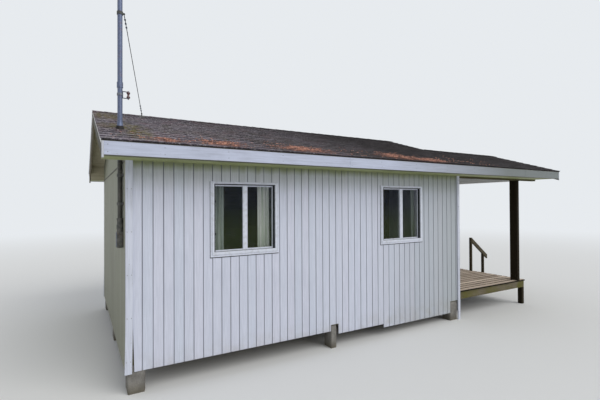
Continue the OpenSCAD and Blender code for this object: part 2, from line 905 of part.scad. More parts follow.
// Upper edge of the handrails at a distance x from the deck's edge
function rail_line(x) = rail_top - x * rail_slope;

// Upper posts stand on the deck's edge, lower posts on the ground beside the strings
module rail_posts() {
    lower = deck_x1 + rail_run - rail_post_w / 2;
    color(rail_grey)
        for (y = [near_post_y, far_post_y]) {
            block(deck_x1 - rail_post_w, deck_x1, y, y + rail_post_w, deck_top, deck_top + rail_h);
            across(y, y + rail_post_w)
                polygon([[lower, 0], [lower + rail_post_w, 0],
                    [lower + rail_post_w, rail_line(rail_run + rail_post_w / 2) - rail_v],
                    [lower, rail_line(rail_run - rail_post_w / 2) - rail_v]]);
        }
}

module handrails() {
    inset = (rail_post_w - rail_t) / 2;
    run = rail_run + rail_tail;
    color(rail_grey)
        for (y = [near_post_y + inset, far_post_y + inset])
            across(y, y + rail_t)
                polygon([[deck_x1, rail_line(0)], [deck_x1 + run, rail_line(run)],
                    [deck_x1 + run, rail_line(run) - rail_v], [deck_x1, rail_line(0) - rail_v]]);
}

module mast() {
    color(zinc) translate([mast_x, mast_off, mast_z0]) cylinder(h = mast_z1 - mast_z0, d = mast_d);
}

// Hooded cap on the mast's top, with its mouth turned down and towards the front
module weatherhead() {
    sleeve = 45;
    hood_r = mast_d / 2 + 24;
    hood_at = [0, -20, 30];
    mouth_r = hood_r - 12;
    mouth_tilt = 115;
    color(zinc)
        translate([mast_x, mast_off, mast_z1])
            difference() {
                union() {
                    translate([0, 0, -sleeve])
                        cylinder(h = sleeve + hood_at[2], r = mast_d / 2 + band_t);
                    translate(hood_at) sphere(r = hood_r);
                    translate(hood_at) rotate([mouth_tilt, 0, 0])
                        cylinder(h = hood_r + mouth_r / 2, r = mouth_r);
                }
                translate([0, 0, -sleeve - past]) cylinder(h = sleeve + past, d = mast_d + 2 * fit);
            }
}

// An upright cylinder that stands on a plane a little over the shingles of the front slope
module upright_on_roof(x, y, r, lift, top_z) {
    base = shingle_line(y) - 2 * r;
    difference() {
        translate([x, y, base]) cylinder(h = top_z - base, r = r);
        along(x - 2 * r, x + 2 * r)
            slope_layer(y - 2 * r, y + 2 * r, shingle_line(0) - 4 * r, shingle_line(0) + lift);
    }
}

// Flashing boot: a plate on the shingles with an upright collar round the mast
module roof_boot() {
    plate_t = 3;
    y0 = mast_off - boot_reach;
    y1 = mast_off + boot_reach;
    top_z = shingle_line(mast_off) + boot_h;
    color(zinc)
        difference() {
            union() {
                along(mast_x - boot_reach, mast_x + boot_reach)
                    slope_layer(y0, y1, shingle_line(0), shingle_line(0) + plate_t);
                upright_on_roof(mast_x, mast_off, mast_d / 2 + band_t, plate_t / 2, top_z);
            }
            mast_hole(lining(0));
        }
}

// The stay's end points: a ball on a band round the mast, and a ball on a foot by the ridge
ball_r = 11;
ball_sink = 3;
ball_lift = 40;
stay_up = [mast_x + mast_d / 2 + band_t + ball_r - ball_sink, mast_off, plate_top + stay_rise];
anchor_y = mid - cap_w * drop - anchor_back;
stay_down = [anchor_off, anchor_y, shingle_line(anchor_y) + ball_lift];

// Draws children standing on +Z at point a, turned to look at point b
module aimed(a, b) {
    d = b - a;
    translate(a) rotate([0, acos(d[2] / norm(d)), atan2(d[1], d[0])]) children();
}

module stay_wire() {
    color(zinc)
        aimed(stay_down, stay_up)
            translate([0, 0, ball_r + fit])
                cylinder(h = norm(stay_up - stay_down) - 2 * (ball_r + fit), d = stay_d);
}

module mast_band(z, h) {
    translate([mast_x, mast_off, z - h / 2])
        difference() {
            cylinder(h = h, r = mast_d / 2 + band_t);
            translate([0, 0, -past]) cylinder(h = h + 2 * past, r = mast_d / 2 + fit);
        }
}

module stay_fittings() {
    foot = 40;
    foot_up = 20;
    foot_t = 6;
    stem_r = 7;
    band_h = 30;
    color(zinc) {
        mast_band(stay_up[2], band_h);
        translate(stay_up) sphere(r = ball_r);
        translate(stay_down) sphere(r = ball_r);
        along(anchor_off - foot, anchor_off + foot)
            slope_layer(anchor_y - 2 * foot, anchor_y + foot_up,
                shingle_line(0), shingle_line(0) + foot_t);
        upright_on_roof(anchor_off, anchor_y, stem_r, foot_t / 2, stay_down[2]);
    }
}

// Spool insulator on a short arm from a band round the mast
module mast_insulator() {
    z = plate_top + insulator_rise;
    band_h = 24;
    arm_r = 6;
    arm_x = mast_d / 2 + band_t / 2;
    flange_r = 18;
    neck_r = 10;
    half = 30;
    color(porcelain) {
        mast_band(z, band_h);
        translate([mast_x + arm_x, mast_off, z]) rotate([0, 90, 0])
            cylinder(h = insulator_reach - arm_x, r = arm_r);
        translate([mast_x + insulator_reach, mast_off, z])
            rotate_extrude()
                polygon([[0, -half], [flange_r, -half], [flange_r, -flange_r], [neck_r, -neck_r],
                    [neck_r, neck_r], [flange_r, flange_r], [flange_r, half], [0, half]]);
    }
}

// Conduit body at the mast's foot, with its hub round the pipe and its back on the wall
module conduit_body() {
    half = mast_d / 2 + band_t + 3;
    color(dark_iron)
        difference() {
            union() {
                block(mast_x - half, 0, mast_off - half, mast_off + half, body_z, body_z + body_h);
                translate([mast_x, mast_off, body_z + body_h])
                    cylinder(h = hub_h, r = mast_d / 2 + band_t);
            }
            translate([mast_x, mast_off, mast_z0]) cylinder(h = body_h + hub_h, d = mast_d + 2 * fit);
        }
}

// Straps that hold the mast pipe to the end wall
module mast_straps() {
    r = mast_d / 2 + band_t;
    ear = 34;
    color(dark_iron)
        for (z = [body_z + body_h + hub_h + strap_rise, soffit_z - strap_drop])
            translate([0, 0, z])
                linear_extrude(strap_h)
                    difference() {
                        union() {
                            translate([mast_x, mast_off]) circle(r = r);
                            translate([mast_x, mast_off - r]) square([-mast_x, 2 * r]);
                            translate([-band_t, mast_off - r - ear]) square([band_t, 2 * (r + ear)]);
                        }
                        translate([mast_x, mast_off]) circle(r = mast_d / 2 + fit);
                    }
}

// The origin is at the middle of the whole part's footprint, on the ground
module set_down() {
    translate([-(x_low + x_high) / 2, -mid, 0]) children();
}

set_down() piers();
set_down() floor_beams();
set_down() floor_joists();
set_down() floor();
set_down() front_wall();
set_down() back_wall();
set_down() left_wall();
set_down() right_wall_front();
set_down() right_wall_back();
set_down() right_wall_over_door();
set_down() front_siding();
set_down() back_siding();
set_down() left_siding();
set_down() right_siding();
set_down() gable_siding();
set_down() corner_boards();
set_down() gable_flashings();
set_down() window_frames();
set_down() window_sashes();
set_down() window_glass();
set_down() curtain_rods();
set_down() curtains();
set_down() door_frame();
set_down() door_leaf();
set_down() door_hinges();
set_down() door_knobs();
set_down() rafters();
set_down() ridge_boards();
set_down() roof_boards();
set_down() shingles();
set_down() ridge_caps();
set_down() fascias();
set_down() rake_boards();
set_down() soffits();
set_down() porch_rafters();
set_down() porch_roof_boards();
set_down() porch_shingles();
set_down() porch_gable();
set_down() porch_beams();
set_down() porch_posts();
set_down() deck_boards();
set_down() deck_frame();
set_down() deck_legs();
set_down() stair_strings();
set_down() stair_treads();
set_down() rail_posts();
set_down() handrails();
set_down() mast();
set_down() weatherhead();
set_down() roof_boot();
set_down() stay_wire();
set_down() stay_fittings();
set_down() mast_insulator();
set_down() conduit_body();
set_down() mast_straps();
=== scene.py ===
"""The looks of a small timber boathouse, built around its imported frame.

Metres. +X runs along the ridge towards the porch, +Y from the front wall to the back wall, +Z up.
"""
import math
import random

import bmesh
import bpy
from mathutils import Matrix, Vector, noise


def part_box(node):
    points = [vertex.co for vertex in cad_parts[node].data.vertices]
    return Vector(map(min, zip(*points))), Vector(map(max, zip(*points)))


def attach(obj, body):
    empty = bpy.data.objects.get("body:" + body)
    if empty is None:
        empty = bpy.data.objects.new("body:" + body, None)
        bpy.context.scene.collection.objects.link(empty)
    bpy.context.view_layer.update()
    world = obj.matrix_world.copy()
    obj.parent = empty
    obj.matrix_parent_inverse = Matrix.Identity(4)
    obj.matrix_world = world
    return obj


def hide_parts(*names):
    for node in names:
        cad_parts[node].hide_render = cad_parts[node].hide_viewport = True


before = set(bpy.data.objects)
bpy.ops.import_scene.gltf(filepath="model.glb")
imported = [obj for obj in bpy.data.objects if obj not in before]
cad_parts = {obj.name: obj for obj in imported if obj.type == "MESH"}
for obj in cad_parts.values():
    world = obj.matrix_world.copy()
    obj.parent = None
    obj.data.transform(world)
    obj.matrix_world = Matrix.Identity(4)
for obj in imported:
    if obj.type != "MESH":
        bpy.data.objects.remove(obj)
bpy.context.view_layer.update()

# Places taken from the frame
WALL_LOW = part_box("front_siding")[0]
WALL_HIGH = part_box("back_siding")[1]
X0, Y0 = WALL_LOW.x, WALL_LOW.y
X1, Y1 = WALL_HIGH.x, WALL_HIGH.y
MID = (Y0 + Y1) / 2
SOFFIT_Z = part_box("soffits")[0].z
DECK_LOW, DECK_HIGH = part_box("deck_boards")
PORCH_MID = (DECK_LOW.y + DECK_HIGH.y) / 2
ROOF_LOW, ROOF_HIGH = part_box("roof_boards")
PORCH_ROOF_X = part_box("porch_roof_boards")[1].x
MAST_LOW, MAST_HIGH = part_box("mast")
MAST = (MAST_LOW + MAST_HIGH) / 2
MAST_R = (MAST_HIGH.x - MAST_LOW.x) / 2

# Slope of both roofs, and the height of the roof boards' upper face over the front wall
PITCH = math.radians(17.5)
COS, SIN, SLOPE = math.cos(PITCH), math.sin(PITCH), math.tan(PITCH)
ROOF_Z = ROOF_HIGH.z - (MID - Y0) * SLOPE
BOARD_T = 0.012
SEAM_PITCH = 0.139
SEAM_W, SEAM_D = 0.004, 0.005

# Shingle tabs, how far they overhang the roof boards, and the share of their tone on their cut edges, as
# painted shade
EDGE_SHADE = 0.3
DRIP = 0.010
EAVE_Y = ROOF_LOW.y - DRIP
EXPOSURE = 0.140
TAB_W = 0.305
TAB_LAP = 0.045
TAB_GAP = 0.006
TAB_T = 0.0045
UNDERLAY = (0.0002, 0.0030)
CAP_WING = 0.128

# The siding's grooves
GROOVE_PITCH = 0.1016
GROOVE_START = 0.0508
GROOVE_W = 0.0095
GROOVE_D = 0.006
GROOVE_TOP = 3.4

# Window frames: how far the casing stands proud, how far its flange laps the siding, and the edges of the
# dark strips that paint shadow gaps
FRAME_PROUD = 0.014
FRAME_LAP = 0.018
SHADOW_STRIP_EDGE = 0.0006

# Dead cedar leaves lie in drifts along the eave, and moss grows in spots: middles and reaches over x, y
DRIFTS = [((X0 + 0.33, Y0 - 0.27), (0.18, 0.13)), ((X0 + 0.90, Y0 - 0.22), (0.28, 0.19)),
          ((X0 + 1.92, Y0 - 0.18), (0.42, 0.21)), ((X0 + 3.40, Y0 - 0.18), (0.36, 0.23)),
          ((X0 + 3.88, Y0 - 0.28), (0.46, 0.16))]
MOSS_SPOTS = [((X0 + 0.13, Y0 + 0.06), (0.15, 0.46)), ((X0 + 0.02, Y0 + 0.45), (0.30, 0.30)),
              ((X0 - 0.10, Y0 + 1.35), (0.22, 0.45))]

BACKGROUND = (0.80, 0.83, 0.86, 1)

# Materials by name, filled by Finish.done
FINISH = {}


def roof_z(y):
    """Height of the roof boards' upper face on the front slope."""
    return ROOF_Z + (y - Y0) * SLOPE


# Materials


def srgb(colour):
    """Red, green and blue from 0 to 255, made linear for a shader."""
    shares = [value / 255 for value in colour]
    return (*(v / 12.92 if v <= 0.04045 else ((v + 0.055) / 1.055) ** 2.4 for v in shares), 1.0)


class Nodes:
    """Short names for the shader nodes that the finishes, the stage and the world share."""

    def __init__(self, tree):
        self.tree = tree

    def node(self, kind, *values, **settings):
        """A new shader node whose first inputs take the given values or links."""
        node = self.tree.nodes.new("ShaderNode" + kind)
        for key, value in settings.items():
            setattr(node, key, value)
        for socket, value in zip(node.inputs, values):
            self.put(socket, value)
        return node

    def put(self, socket, value):
        if isinstance(value, bpy.types.NodeSocket):
            self.tree.links.new(value, socket)
        elif value is not None:
            socket.default_value = value

    def reckon(self, operation, a, b=None):
        return self.node("Math", a, b, operation=operation).outputs[0]

    def sum(self, a, b):
        return self.reckon("ADD", a, b)

    def times(self, a, b):
        return self.reckon("MULTIPLY", a, b)

    def larger(self, a, b):
        return self.reckon("MAXIMUM", a, b)


class Finish(Nodes):
    """A procedural material whose colour is built up in layers. Colours are red, green and blue from
    0 to 255."""

    def __init__(self, name, roughness, colour=None, **fixed):
        self.material = bpy.data.materials.new(name)
        self.material.use_nodes = True
        super().__init__(self.material.node_tree)
        self.surface = self.tree.nodes["Principled BSDF"]
        self.surface.inputs["Roughness"].default_value = roughness
        for key, value in fixed.items():
            self.surface.inputs[key.replace("_", " ")].default_value = value
        self.name, self.colour = name, colour
        self.place = self.node("TexCoord").outputs["Object"]
        self.parts = self.node("SeparateXYZ", self.place).outputs

    def axis(self, letter):
        return self.parts["XYZ".index(letter)]

    def facing(self):
        """The parts of the surface's normal."""
        return self.node("SeparateXYZ", self.node("NewGeometry").outputs["Normal"]).outputs

    def attribute(self, name):
        return self.node("Attribute", attribute_name=name).outputs["Fac"]

    def noise(self, scale, stretch=(1, 1, 1), detail=4.0, roughness=0.55):
        """Fractal noise with a size of about 1 / scale metres, squeezed along each axis by stretch."""
        where = self.node("Mapping", self.place, None, None, stretch).outputs[0]
        return self.node("TexNoise", where, None, scale, detail, roughness).outputs[0]

    def cells(self, scale):
        return self.node("TexVoronoi", self.place, None, scale).outputs["Distance"]

    def near(self, centre, reach):
        """1 at a place, falling to 0 at its reach along each axis."""
        start = tuple(-c / r for c, r in zip(centre, reach))
        where = self.node("Mapping", self.place, start, None, tuple(1 / r for r in reach)).outputs[0]
        length = self.node("VectorMath", where, operation="LENGTH").outputs["Value"]
        return self.span(length, 0.35, 1.0, 1.0, 0.0)

    def boards(self, letter):
        """The running number of the siding's boards along a wall, with its fraction."""
        start = WALL_LOW["XYZ".index(letter)] + GROOVE_START
        return self.reckon("DIVIDE", self.reckon("SUBTRACT", self.axis(letter), start), GROOVE_PITCH)

    def span(self, value, low, high, to_low=0.0, to_high=1.0):
        """Maps a value from low..high to to_low..to_high and holds it there beyond."""
        return self.node("MapRange", value, low, high, to_low, to_high).outputs[0]

    def mix(self, share, a, b):
        node = self.node("Mix", data_type="RGBA")
        for socket, value in zip((0, 6, 7), (share, a, b)):
            self.put(node.inputs[socket], srgb(value) if isinstance(value, tuple) else value)
        return node.outputs[2]

    def lay(self, share, colour):
        """Covers the colour so far with another, by a share that may vary over the surface."""
        self.colour = self.mix(share, self.colour, colour)

    def cover(self, value, low, high, most, colour):
        """Covers the colour so far where a value goes from low to high, by up to most."""
        self.lay(self.span(value, low, high, 0.0, most), colour)

    def done(self, height=None, depth=0.0, roughness=None, metallic=None):
        """Links the colour, the roughness and a bump to the surface, and keeps the material."""
        if height is not None:
            bump = self.node("Bump")
            bump.inputs["Distance"].default_value = depth
            self.put(bump.inputs["Height"], height)
            self.put(self.surface.inputs["Normal"], bump.outputs[0])
        self.put(self.surface.inputs["Base Color"], self.colour)
        self.put(self.surface.inputs["Roughness"], roughness)
        self.put(self.surface.inputs["Metallic"], metallic)
        FINISH[self.name] = self.material


def shaded_end(f, colour, most):
    """Painted shade of the trees: greyer and greener colour towards the porch end, which stands under them.
    """
    f.cover(f.axis("X"), X0 + 3.0, X0 + 5.6, most, colour)


def painted_siding(name, letter, light, other, stain, stain_share, eave_shade_share):
    """Thin old paint on rough-sawn grooved panels: boards of slightly different tint, faint upright
    streaks, painted shade and green bounce light under the eaves, splashed dirt along the foot and painted
    shade in the grooves."""
    f = Finish(name, 0.62)
    boards, height = f.boards(letter), f.axis("Z")
    number = f.reckon("FLOOR", boards)
    tint = f.node("TexWhiteNoise", None, number, noise_dimensions="1D").outputs["Value"]
    f.colour = f.mix(tint, light, other)
    grain = f.noise(1.0, (95, 95, 5), 6, 0.65)
    streaks = f.noise(1.0, (16, 16, 0.7), 3)
    patches = f.noise(1.6, detail=5)
    f.cover(grain, 0.40, 0.75, 0.42, stain)
    f.cover(grain, 0.40, 0.22, 0.35, (222, 226, 238))
    f.cover(streaks, 0.45, 0.8, stain_share, stain)
    f.cover(patches, 0.5, 0.85, stain_share, stain)
    # Painted shade of the trees towards the porch end.
    if letter == "X":
        shaded_end(f, (126, 134, 124), 0.76)
    # Painted shade and green bounce light under the eaves, strongest close under the soffit.
    eave_shade_height, eave_green_height = f.sum(height, f.times(streaks, 0.14)), f.sum(height, f.times(streaks, 0.07))
    f.cover(eave_shade_height, SOFFIT_Z - 0.24, SOFFIT_Z + 0.05, eave_shade_share * 0.55, (138, 144, 112))
    f.cover(eave_green_height, SOFFIT_Z - 0.05, SOFFIT_Z + 0.02, eave_shade_share, (116, 123, 78))
    splashes = f.span(f.noise(9, detail=6), 0.35, 0.75, 0.0, 0.40)
    f.lay(f.times(f.span(height, 0.42, 0.16), splashes), (146, 138, 118))
    # Painted shade in the grooves, darker along the streaks.
    half_groove = GROOVE_W / 2 / GROOVE_PITCH
    painted_groove_shade = f.span(f.reckon("PINGPONG", boards, 0.5), half_groove * 1.15, half_groove * 0.85)
    f.lay(f.times(painted_groove_shade, f.span(streaks, 0.25, 0.6, 0.45, 0.80)), (104, 106, 116))
    f.done(f.sum(grain, f.times(patches, 0.6)), 0.0022)


def trim_paint(name, base, dirt, stretch, shade=0.0, left_shade=0.0, shine=0.5):
    """Brushed paint on a planed board, with dirt in its low places and a few bare flecks. Undersides,
    and a share of what faces the left end, are painted olive-dark as shade."""
    f = Finish(name, 0.50, base, Specular_IOR_Level=shine)
    grain = f.noise(1.0, stretch, 5, 0.6)
    patches = f.noise(2.4, detail=6, roughness=0.6)
    f.cover(grain, 0.42, 0.72, 0.55, dirt)
    f.cover(patches, 0.52, 0.80, 0.40, dirt)
    f.cover(f.noise(38, detail=3), 0.70, 0.74, 0.7, (124, 116, 102))
    # Painted shade of the trees towards the porch end, by the share given.
    shaded_end(f, (102, 108, 104), shade)
    facing = f.facing()
    # Painted shade on downward faces.
    f.cover(facing["Z"], -0.5, -0.8, 0.85, (112, 100, 72))
    # Painted shade on faces towards the left end, in blotches.
    blotches = f.span(patches, 0.25, 0.65, 0.75, 1.0)
    f.lay(f.times(f.span(facing["X"], -0.5, -0.8, 0.0, left_shade), blotches), (98, 95, 82))
    f.done(grain, 0.0018)


def olive_soffit():
    """White paint gone olive on level panels out of the sun, partly a green stain and partly painted green
    bounce light, with painted shade near black behind the fascias.
    """
    f = Finish("soffit_paint", 0.65, (158, 164, 114))
    fine = f.noise(60)
    f.cover(f.noise(3.2, (1, 2.5, 1), 6), 0.35, 0.7, 1.0, (126, 133, 82))
    f.cover(fine, 0.5, 0.8, 0.5, (100, 106, 66))
    # Painted shade: near black close behind the front and back fascias.
    front = f.span(f.axis("Y"), ROOF_LOW.y + 0.17, ROOF_LOW.y + 0.08)
    back = f.span(f.axis("Y"), ROOF_HIGH.y - 0.17, ROOF_HIGH.y - 0.08)
    f.lay(f.times(f.larger(front, back), 0.85), (52, 52, 42))
    f.done(fine, 0.001)


def plank_timber(name, letter, light, dark, crack, moss=None, moss_share=0.0, edge=None):
    """Bare weathered timber, grained along one axis, with a tone for each board. The upright edges of
    boards that lie flat may be painted dark as shade, which also darkens the gaps between them."""
    f = Finish(name, 0.78, dark, Specular_IOR_Level=0.15)
    stretch = [34, 34, 34]
    stretch["XYZ".index(letter)] = 1.1
    grain = f.noise(1.0, stretch, 7, 0.62)
    checks = f.noise(1.0, [v * 2.6 for v in stretch], 3)
    f.cover(f.attribute("tone"), 0.0, 1.0, 1.0, light)
    f.cover(grain, 0.42, 0.72, 0.55, crack)
    f.cover(checks, 0.62, 0.70, 0.75, crack)
    f.cover(f.noise(2.2, detail=5), 0.5, 0.8, 0.45, dark)
    if moss:
        f.cover(f.noise(3.4, detail=7, roughness=0.6), 0.40, 0.62, moss_share, moss)
    # Painted shade on upright faces: the edges of flat boards and the gaps between them.
    if edge:
        f.cover(f.facing()["Z"], 0.93, 0.75, 1.0, edge)
    f.done(f.sum(f.times(grain, 0.8), f.span(checks, 0.60, 0.72, 0.0, -0.7)), 0.0035)


def drift_mask(f, spots):
    """Where the drifts or moss spots lie, as a value from 0 to 1."""
    mask = None
    for (x, y), (rx, ry) in spots:
        spot = f.near((x, y, roof_z(y)), (rx * 1.15, ry * 1.15, 1.0))
        mask = spot if mask is None else f.larger(mask, spot)
    return mask


def shingle_surface(name, debris):
    """Dark mineral granules on asphalt shingles, with a tone for each tab, stains, painted shade of the
    trees that darkens them towards the porch end and, on the front slope, moss and a rusty tint where dead
    leaves lie."""
    f = Finish(name, 0.95, (84, 79, 88), Specular_IOR_Level=0.2)
    granules = f.noise(260, detail=2)
    specks = f.noise(42, detail=6, roughness=0.75)
    stains = f.noise(1.5, (1.3, 0.7, 1), 6, 0.65)
    tint = f.noise(4.5, (1.6, 0.8, 1), 6, 0.7)
    f.lay(f.attribute("tone"), (150, 142, 153))
    f.cover(granules, 0.35, 0.65, 0.50, (50, 47, 50))
    f.cover(specks, 0.52, 0.60, 0.90, (190, 182, 187))
    f.cover(specks, 0.47, 0.37, 0.80, (38, 35, 38))
    f.cover(stains, 0.48, 0.74, 0.45, (104, 90, 72))
    f.cover(stains, 0.46, 0.26, 0.40, (74, 70, 84))
    f.cover(tint, 0.52, 0.64, 0.42, (132, 104, 106))
    f.cover(tint, 0.46, 0.34, 0.42, (98, 96, 74))
    # Painted shade of the trees: darker towards the porch end.
    f.cover(f.sum(f.axis("X"), f.times(stains, 1.5)), X0 + 0.6, X0 + 4.4, 0.90, (33, 29, 29))
    if debris:
        blotch = f.span(f.noise(17, detail=5), 0.38, 0.58, 0.0, 0.80)
        f.lay(f.times(drift_mask(f, MOSS_SPOTS), blotch), (112, 104, 58))
        litter = f.span(f.noise(26, detail=6, roughness=0.7), 0.40, 0.56, 0.0, 0.60)
        f.lay(f.times(drift_mask(f, DRIFTS), litter), (156, 106, 88))
    f.done(f.sum(granules, f.times(specks, 0.7)), 0.0035)


def leaf_litter():
    f = Finish("leaf_litter", 0.85, (126, 80, 66))
    f.lay(f.attribute("tone"), (216, 160, 138))
    f.cover(f.noise(34, detail=5), 0.48, 0.62, 1.0, (84, 62, 54))
    f.done()


def rough_concrete():
    f = Finish("rough_concrete", 0.92, (136, 133, 128))
    broad = f.noise(7, detail=7, roughness=0.65)
    sand = f.noise(170, detail=2)
    f.cover(broad, 0.35, 0.68, 1.0, (92, 90, 86))
    f.cover(sand, 0.45, 0.7, 0.5, (84, 80, 72))
    f.cover(f.sum(f.axis("Z"), f.times(broad, 0.12)), 0.17, 0.06, 0.6, (92, 84, 62))
    f.done(f.sum(broad, f.sum(f.times(f.cells(58), 0.5), f.times(sand, 0.35))), 0.006)


def zinc_metal(name, base, dark, rust_share, tar_and_shade_top=None):
    """Dull galvanised steel with spangle, stains and a little rust; below a height it goes dark, partly tar
    and partly painted shade of the eave.
    """
    f = Finish(name, 0.48, base)
    spangle = f.cells(75)
    stains = f.noise(7, (1, 1, 0.25), 6)
    f.cover(spangle, 0.1, 0.7, 0.5, dark)
    f.cover(stains, 0.45, 0.75, 0.7, dark)
    f.cover(f.noise(21, detail=6), 0.56, 0.66, rust_share, (122, 82, 56))
    metallic = 0.55
    if tar_and_shade_top:
        # Below the soffit: dark, partly tar and partly painted shade of the eave.
        tarred = f.span(f.sum(f.axis("Z"), f.times(stains, 0.10)), tar_and_shade_top + 0.05, tar_and_shade_top + 0.02)
        mottle = f.span(f.noise(26, detail=5), 0.4, 0.65)
        f.lay(tarred, f.mix(mottle, (50, 49, 45), (78, 76, 70)))
        metallic = f.span(tarred, 0.0, 1.0, metallic, 0.0)
    f.done(f.sum(stains, f.times(spangle, 0.2)), 0.0012, metallic=metallic)


def mottled(name, roughness, scale, detail, span, light, dark, depth, most=1.0, rust=0.0, metallic=None,
            **fixed):
    """A plain finish that goes from one colour to another over a span of its noise, with rust if asked."""
    f = Finish(name, roughness, light, **fixed)
    spots = f.noise(scale, detail=detail)
    f.cover(spots, *span, most, dark)
    if rust:
        f.cover(f.noise(13, detail=6), 0.58, 0.68, rust, (108, 74, 52))
    f.done(spots, depth, metallic=metallic)


def pane_glass():
    """Dark window glass with painted reflection, green along its foot and blue-grey above, dusty, that still
    shows the curtains behind it.
    """
    f = Finish("pane_glass", 0.04, (64, 76, 48), IOR=1.36, Alpha=0.18)
    dust = f.noise(9, detail=6)
    # Painted reflection: blue-grey higher up over green low on the glass.
    f.cover(f.sum(f.axis("Z"), f.times(dust, 0.3)), 1.70, 2.02, 1.0, (34, 42, 56))
    f.cover(dust, 0.45, 0.8, 0.35, (112, 120, 112))
    f.done(roughness=f.span(dust, 0.4, 0.8, 0.03, 0.12))


def thin_cloth(name, clean, fold_shade):
    """Plain weave, with upright grey streaks painted as the shade of folds."""
    f = Finish(name, 0.88, clean, Sheen_Weight=0.15)
    weave = f.sum(f.noise(1.0, (900, 900, 90), 2), f.noise(1.0, (90, 90, 1200), 2))
    # Painted shade of folds: upright grey streaks.
    f.cover(f.noise(1.0, (34, 34, 1.6), 5), 0.4, 0.68, 1.0, fold_shade)
    f.cover(weave, 0.8, 1.2, 0.18, (150, 154, 148))
    f.done(weave, 0.0006)


def make_finishes():
    """Every material. Siding and timber name the axis they run along, and trim how its grain stretches."""
    painted_siding("front_paint", "X", (198, 203, 217), (203, 205, 219), (168, 173, 188), 0.22, 0.85)
    # The left end's paint is darker and greener than the front's: painted shade and green bounce light on
    # that side.
    painted_siding("shaded_gable_paint", "Y", (149, 150, 132), (137, 138, 120), (113, 113, 99), 0.55, 0.12)
    painted_siding("end_paint", "Y", (190, 195, 198), (184, 188, 190), (150, 154, 146), 0.40, 0.25)
    # The fascias get painted shade of the trees towards the porch end.
    trim_paint("level_trim", (184, 190, 209), (148, 152, 166), (3, 50, 50), shade=0.92)
    trim_paint("rake_trim", (196, 199, 208), (146, 146, 140), (50, 3, 12), left_shade=0.9, shine=0.0)
    trim_paint("rake_edge_paint", (244, 244, 244), (222, 222, 220), (50, 3, 12), shine=0.2)
    trim_paint("upright_trim", (200, 204, 217), (160, 163, 174), (50, 50, 3))
    trim_paint("white_beam_paint", (238, 240, 240), (206, 208, 204), (50, 3, 50))
    olive_soffit()
    plank_timber("raw_timber", "Y", (150, 126, 90), (112, 92, 62), (84, 66, 44))
    plank_timber("level_timber", "X", (128, 118, 82), (100, 94, 62), (70, 64, 42))
    plank_timber("painted_planks", "X", (214, 207, 186), (188, 181, 156), (132, 122, 92))
    plank_timber("post_timber", "Z", (46, 38, 20), (28, 22, 10), (18, 13, 6))
    plank_timber("beam_timber", "X", (96, 92, 66), (70, 64, 44), (40, 34, 22), (92, 96, 58), 0.5)
    # Near-black painted shade on the deck boards' upright edges and in their gaps.
    plank_timber("deck_timber", "X", (226, 208, 190), (168, 150, 134), (108, 93, 80), edge=(30, 24, 11))
    plank_timber("rim_timber", "X", (112, 104, 86), (70, 62, 44), (34, 28, 16), (86, 84, 30), 0.8)
    plank_timber("tread_timber", "Y", (112, 104, 86), (70, 62, 44), (34, 28, 16), (86, 84, 36), 0.5)
    plank_timber("leg_timber", "Z", (54, 46, 28), (34, 28, 16), (22, 17, 10))
    plank_timber("rail_timber", "Z", (66, 59, 42), (42, 36, 24), (28, 23, 15))
    plank_timber("handrail_timber", "X", (104, 98, 82), (74, 67, 52), (46, 40, 30))
    shingle_surface("front_shingles", True)
    shingle_surface("back_shingles", False)
    leaf_litter()
    rough_concrete()
    # The mast's blue tint is partly painted sky reflection over grey zinc.
    zinc_metal("mast_zinc", (116, 124, 148), (72, 82, 108), 0.22, SOFFIT_Z + 0.04)
    zinc_metal("zinc_fittings", (128, 134, 146), (84, 90, 100), 0.6)
    # The dark strips at the windows are painted shade in the gaps round frames and sashes.
    for name, light, dark in (("drip_edge_paint", (44, 41, 42), (28, 26, 27)),
                              ("roof_tar", (52, 49, 48), (30, 28, 28)),
                              ("shadow_strip_rubber", (54, 56, 60), (32, 34, 38))):
        mottled(name, 0.8, 31, 5, (0.40, 0.65), light, dark, 0.0008, Specular_IOR_Level=0.25)
    mottled("iron_metal", 0.62, 30, 6, (0.4, 0.7), (70, 71, 69), (104, 103, 98), 0.0015, rust=0.8,
            metallic=0.25)
    mottled("window_vinyl", 0.38, 24, 6, (0.48, 0.82), (206, 210, 222), (150, 150, 142), 0.0004, most=0.5)
    mottled("brown_glaze", 0.22, 42, 4, (0.4, 0.7), (70, 34, 36), (98, 52, 50), 0.0004, Coat_Weight=0.5)
    mottled("turned_brass", 0.34, 35, 5, (0.4, 0.7), (176, 160, 120), (122, 106, 78), 0.0004, metallic=0.8)
    pane_glass()
    thin_cloth("thin_cloth", (252, 255, 250), (196, 212, 190))
    thin_cloth("grey_cloth", (186, 198, 192), (126, 138, 124))


# Mesh helpers


def toned_mesh():
    """A new bmesh whose faces have a tone. Its layer comes first, because faces in use don't outlast it."""
    bm = bmesh.new()
    bm.faces.layers.float.new("tone")
    return bm


def set_tone(bm, faces, tone):
    layer = bm.faces.layers.float["tone"]
    for face in faces:
        face[layer] = tone


def link_mesh(name, bm, material):
    """Turns a bmesh into an object of the scene."""
    mesh = bpy.data.meshes.new(name)
    bm.normal_update()
    bm.to_mesh(mesh)
    bm.free()
    mesh.materials.append(material)
    obj = bpy.data.objects.new(name, mesh)
    bpy.context.scene.collection.objects.link(obj)
    return obj


def make_piece(name, bm, finish, node=None, slot=None, smooth=None):
    """A piece that rides on the fixed frame, and stands for a CAD node where one is named."""
    piece = link_mesh(name, bm, FINISH[finish])
    if smooth is not None:
        piece.data.shade_smooth()
        piece.data.set_sharp_from_angle(angle=math.radians(smooth))
    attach(piece, "root")
    if node:
        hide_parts(node)
    return piece


